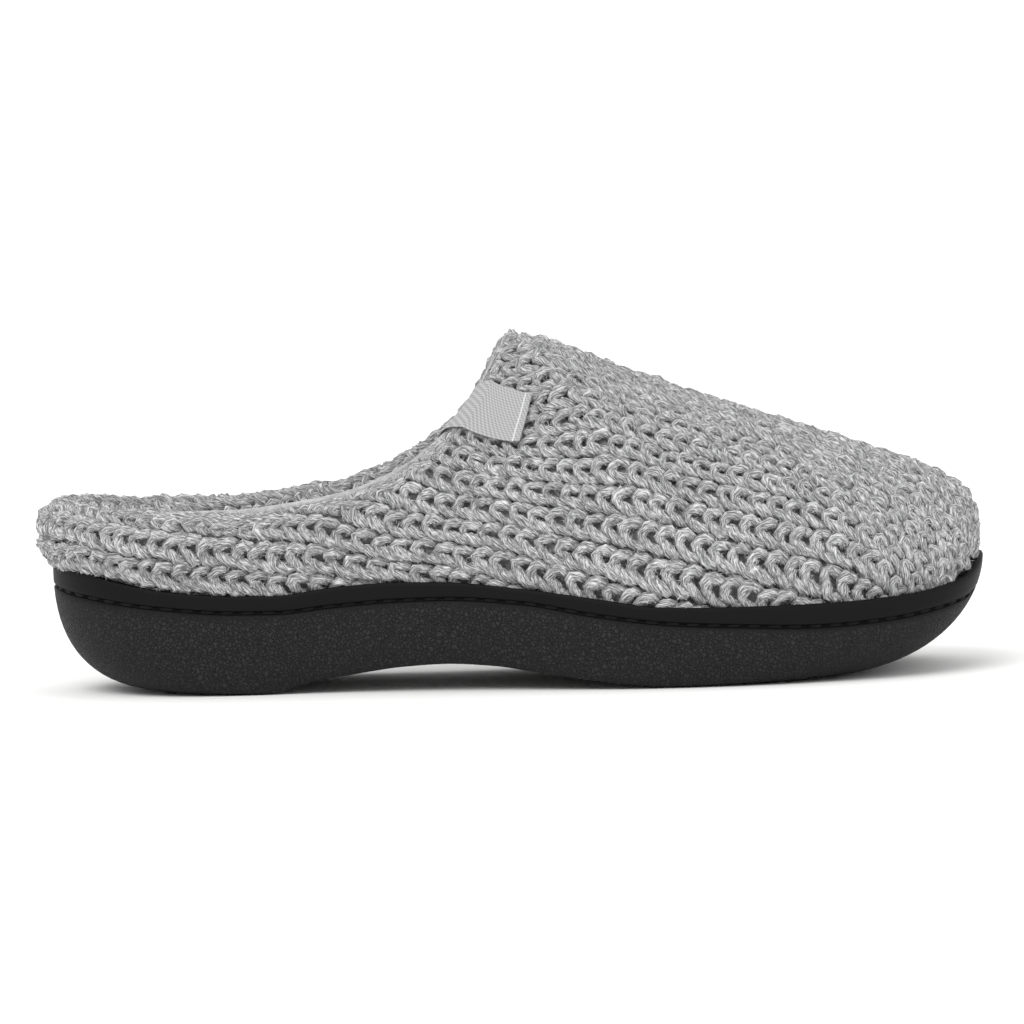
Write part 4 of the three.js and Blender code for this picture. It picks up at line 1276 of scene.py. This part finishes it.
def addSeamStitch():
    # one visible stitch: two threads that dive into the rubber at both ends
    points, faces, twist, sides = [], [], [], seam["sides"]
    for offset in (-0.5, 0.5):
        first = len(points)
        for share in np.linspace(-0.5, 0.5, seam["rings"]):
            dive = -seam["dive"] * abs(2 * share) ** seam["diveShape"]
            cross = (offset * seam["apart"] * math.cos(share * seam["bow"])
                     + seam["sway"] * share)
            for turn in np.linspace(0, 2 * np.pi, sides, endpoint=False):
                points.append((share * seam["length"] * mm,
                               (cross + seam["radius"] * math.cos(turn)) * mm,
                               (dive + seam["radius"] * math.sin(turn)) * mm))
                twist.append((share * seam["twist"][0], turn * seam["twist"][1], 0))
        rings = np.arange(first, len(points)).reshape(-1, sides)
        for a, b in zip(rings, rings[1:]):
            faces += zip(a, b, np.roll(b, -1), np.roll(a, -1))
        faces += [rings[0], rings[-1][::-1]]
    piece = addMesh("seam stitch", points, faces, None, {"twist": np.array(twist)})
    tidyMesh(piece, 1e-9)
    return piece


def seamTree():
    tree, given, geo = newTree("stitches along a seam", ("Spots", "Geometry"), ("Stitch", "Object"),
                               ("Thread", "Material"))
    way, out = (named(tree, name, "FLOAT_VECTOR") for name in ("way", "out"))
    turn = addNode(tree, "FunctionNodeAxesToRotation", {"Primary Axis": out, "Secondary Axis": way},
                   primary_axis="Z", secondary_axis="X").outputs[0]
    placed = geo("InstanceOnPoints", {"Points": given["Spots"], "Rotation": turn,
                                      "Instance": meshOf(tree, given["Stitch"])})
    real = geo("RealizeInstances", {"Geometry": placed})
    return closeTree(tree, geo("SetShadeSmooth", {"Geometry": real}), given["Thread"])


def addSeam():
    random = np.random.default_rng(seam["seed"])
    spots, ways, outs = [], [], []
    for side in (-1, 1):
        share = np.linspace(seam["start"], seam["end"], seam["samples"])
        height = size["soleHeight"] * channelLine(share)
        line = place(side, soleSidePoint(side, share, height, seam["inset"]))
        run = runAlong(line)
        count = int(run[-1] / seam["pitch"])
        want = (np.arange(count) + 0.5) * run[-1] / count + random.normal(0, seam["stray"], count)
        spots.append(walkLine(line, run, want))
        ways.append(unit(walkLine(line, run, want + 1) - spots[-1]))
        normal = edgeNormal(side, np.interp(want, run, share))
        outs.append(stack(normal[:, 0], side * normal[:, 1], 0))
    piece = addMesh("sole_stitching", toFrame(np.concatenate(spots)),
                    attributes={"way": np.concatenate(ways), "out": np.concatenate(outs)})
    stitch = addSeamStitch()
    grow(piece, seamTree(), Stitch=stitch, Thread=finish["thread"])
    bpy.data.objects.remove(stitch)
    return piece


seamPiece = addSeam()
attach(seamPiece, root)
print("sole stitching", triangles(seamPiece))


# ---- footbed

footbed = {"stations": 110, "roundRows": 7, "acrossRows": 17, "crown": 0.9, "crownWidth": 40,
           "fill": 0.9}


def footbedSide(side, shares):
    around = size["lipWidth"] + size["wall"] + 2 * size["gap"]
    foot = insetPoint(side, shares, around)
    rows = [stack(foot[:, 0], foot[:, 1], seatHeight(foot[:, 0]) + size["gap"])]
    for turn in np.linspace(0, np.pi / 2, footbed["roundRows"]):
        spot = insetPoint(side, shares, around + size["footbedRound"] * (1 - math.cos(turn)))
        rise = size["footbedThick"] - size["footbedRound"] * (1 - math.sin(turn))
        rows.append(stack(spot[:, 0], spot[:, 1], seatHeight(spot[:, 0]) + size["gap"] + rise))
    return place(side, np.stack(rows, axis=1))


def addFootbed():
    shares = np.linspace(0, 1, footbed["stations"] + 1)
    outer, inner = footbedSide(-1, shares), footbedSide(1, shares)
    bottom, top = (spanAcross(outer, inner, row, footbed["acrossRows"]) for row in (0, -1))
    width = np.linalg.norm(outer[:, -1] - inner[:, -1], axis=1)[:, None]
    across = 2 * np.linspace(0, 1, footbed["acrossRows"])[None] - 1
    top[..., 2] += footbed["crown"] * np.minimum(width / footbed["crownWidth"], 1) * (1 - across ** 4)
    points, faces = joinGrids([outer, inner, bottom, top], [True, False, True, False])
    piece = addMesh("footbed", toFrame(points), faces, finish["footbed"])
    tidyMesh(piece)
    piece.data.shade_smooth()
    return piece


bed = addFootbed()
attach(bed, root)
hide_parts("insole")
print("footbed", triangles(bed))


# ---- ribbon tab, folded over the collar's edge on the outer side

label = {  # corners: station and millimetres below the wall's top, over the edge below zero
    "insideLow": (0.479, -10.4), "insideHigh": (0.529, -8.5), "outsideLow": (0.54, 20.75),
    "outsideHigh": (0.57, 19.3), "lift": 1.15, "rimLift": 0.5, "rimReach": 7.0, "thick": 0.5,
    "along": 60, "across": 30, "hem": 0.085, "hemEase": 0.02, "hemLine": 0.008, "hemRise": 0.3,
    "bow": 0.00108, "bowEnd": 1.6, "soften": 0.25, "edgeSlope": (14, 22), "underShare": 0.4,
    "evenTurns": 4, "weave": (24, 12), "fineRows": 61, "sharp": 50,
}


def collarDrop(share, drop):
    # a spot of the outer side, so far down from the wall's top or back over the collar's edge
    spots, rows = [], label["fineRows"]
    for one, down in zip(np.ravel(share), np.ravel(drop)):
        if down < 0:
            spots.append(collarArc(np.array(one), np.array(min(-down / (np.pi * rollRadius(one)), 1))))
        else:
            line = wallPoint(-1, np.full(rows, one), np.linspace(1, 0, rows))
            spots.append(walkLine(line, runAlong(line), down))
    return place(-1, np.array(spots)).reshape(*np.shape(share), 3)


def addLabel():
    along, across = np.meshgrid(np.linspace(0, 1, label["along"] + 1),
                                np.linspace(0, 1, label["across"] + 1), indexing="ij")

    def corner(index):
        low = label["insideLow"][index] * (1 - across) + label["insideHigh"][index] * across
        high = label["outsideLow"][index] * (1 - across) + label["outsideHigh"][index] * across
        return low * (1 - along) + high * along

    share, drop, bowEnd = corner(0), corner(1), label["bowEnd"]
    bulge = np.sin(np.pi * np.clip(along * bowEnd - (bowEnd - 1), 0, 1)) * (1 - across)
    spot = collarDrop(share - label["bow"] * bulge, drop)
    normal = unit(np.cross(np.gradient(spot, axis=0), np.gradient(spot, axis=1)))
    for _ in range(label["evenTurns"]):
        normal[1:-1] = unit(normal[:-2] + normal[1:-1] + normal[2:])
    hemAt = 1 - label["hem"]
    sideSlope, endSlope = label["edgeSlope"]
    edge = np.minimum(np.minimum(across, 1 - across) * sideSlope, (1 - along) * endSlope)
    soften = label["soften"] * (1 - np.clip(edge, 0, 1)) ** 2
    hug = label["rimLift"] + (label["lift"] - label["rimLift"]) * easeIn(drop / label["rimReach"])
    raised = label["thick"] + label["hemRise"] * easeIn((along - hemAt) / label["hemEase"]) - soften
    under, top = (spot + normal * (hug + rise)[..., None]
                  for rise in (soften * label["underShare"], raised))
    points, faces = joinGrids([under, top], [False, True])
    # a rim of faces closes the ribbon's edge
    index = np.arange(along.size).reshape(along.shape)
    ring = np.concatenate([index[0, :-1], index[:-1, -1], index[-1, :0:-1], index[:0:-1, 0]])
    after = np.roll(ring, -1)
    rim = np.stack([ring, after, after + along.size, ring + along.size], axis=1)
    weave = stack(along * label["weave"][0], across * label["weave"][1], 0).reshape(-1, 3)
    line = np.exp(-((along - hemAt) / label["hemLine"]) ** 2).ravel()
    piece = addMesh("label", toFrame(points), np.concatenate([faces, rim]), finish["ribbon"],
                    {"weave": np.tile(weave, (2, 1)), "hem": np.tile(line, 2)})
    tidyMesh(piece, 1e-7)
    sharpen(piece, label["sharp"])
    return piece


tab = addLabel()
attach(tab, root)
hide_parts("label_tab")
print("label", triangles(tab))
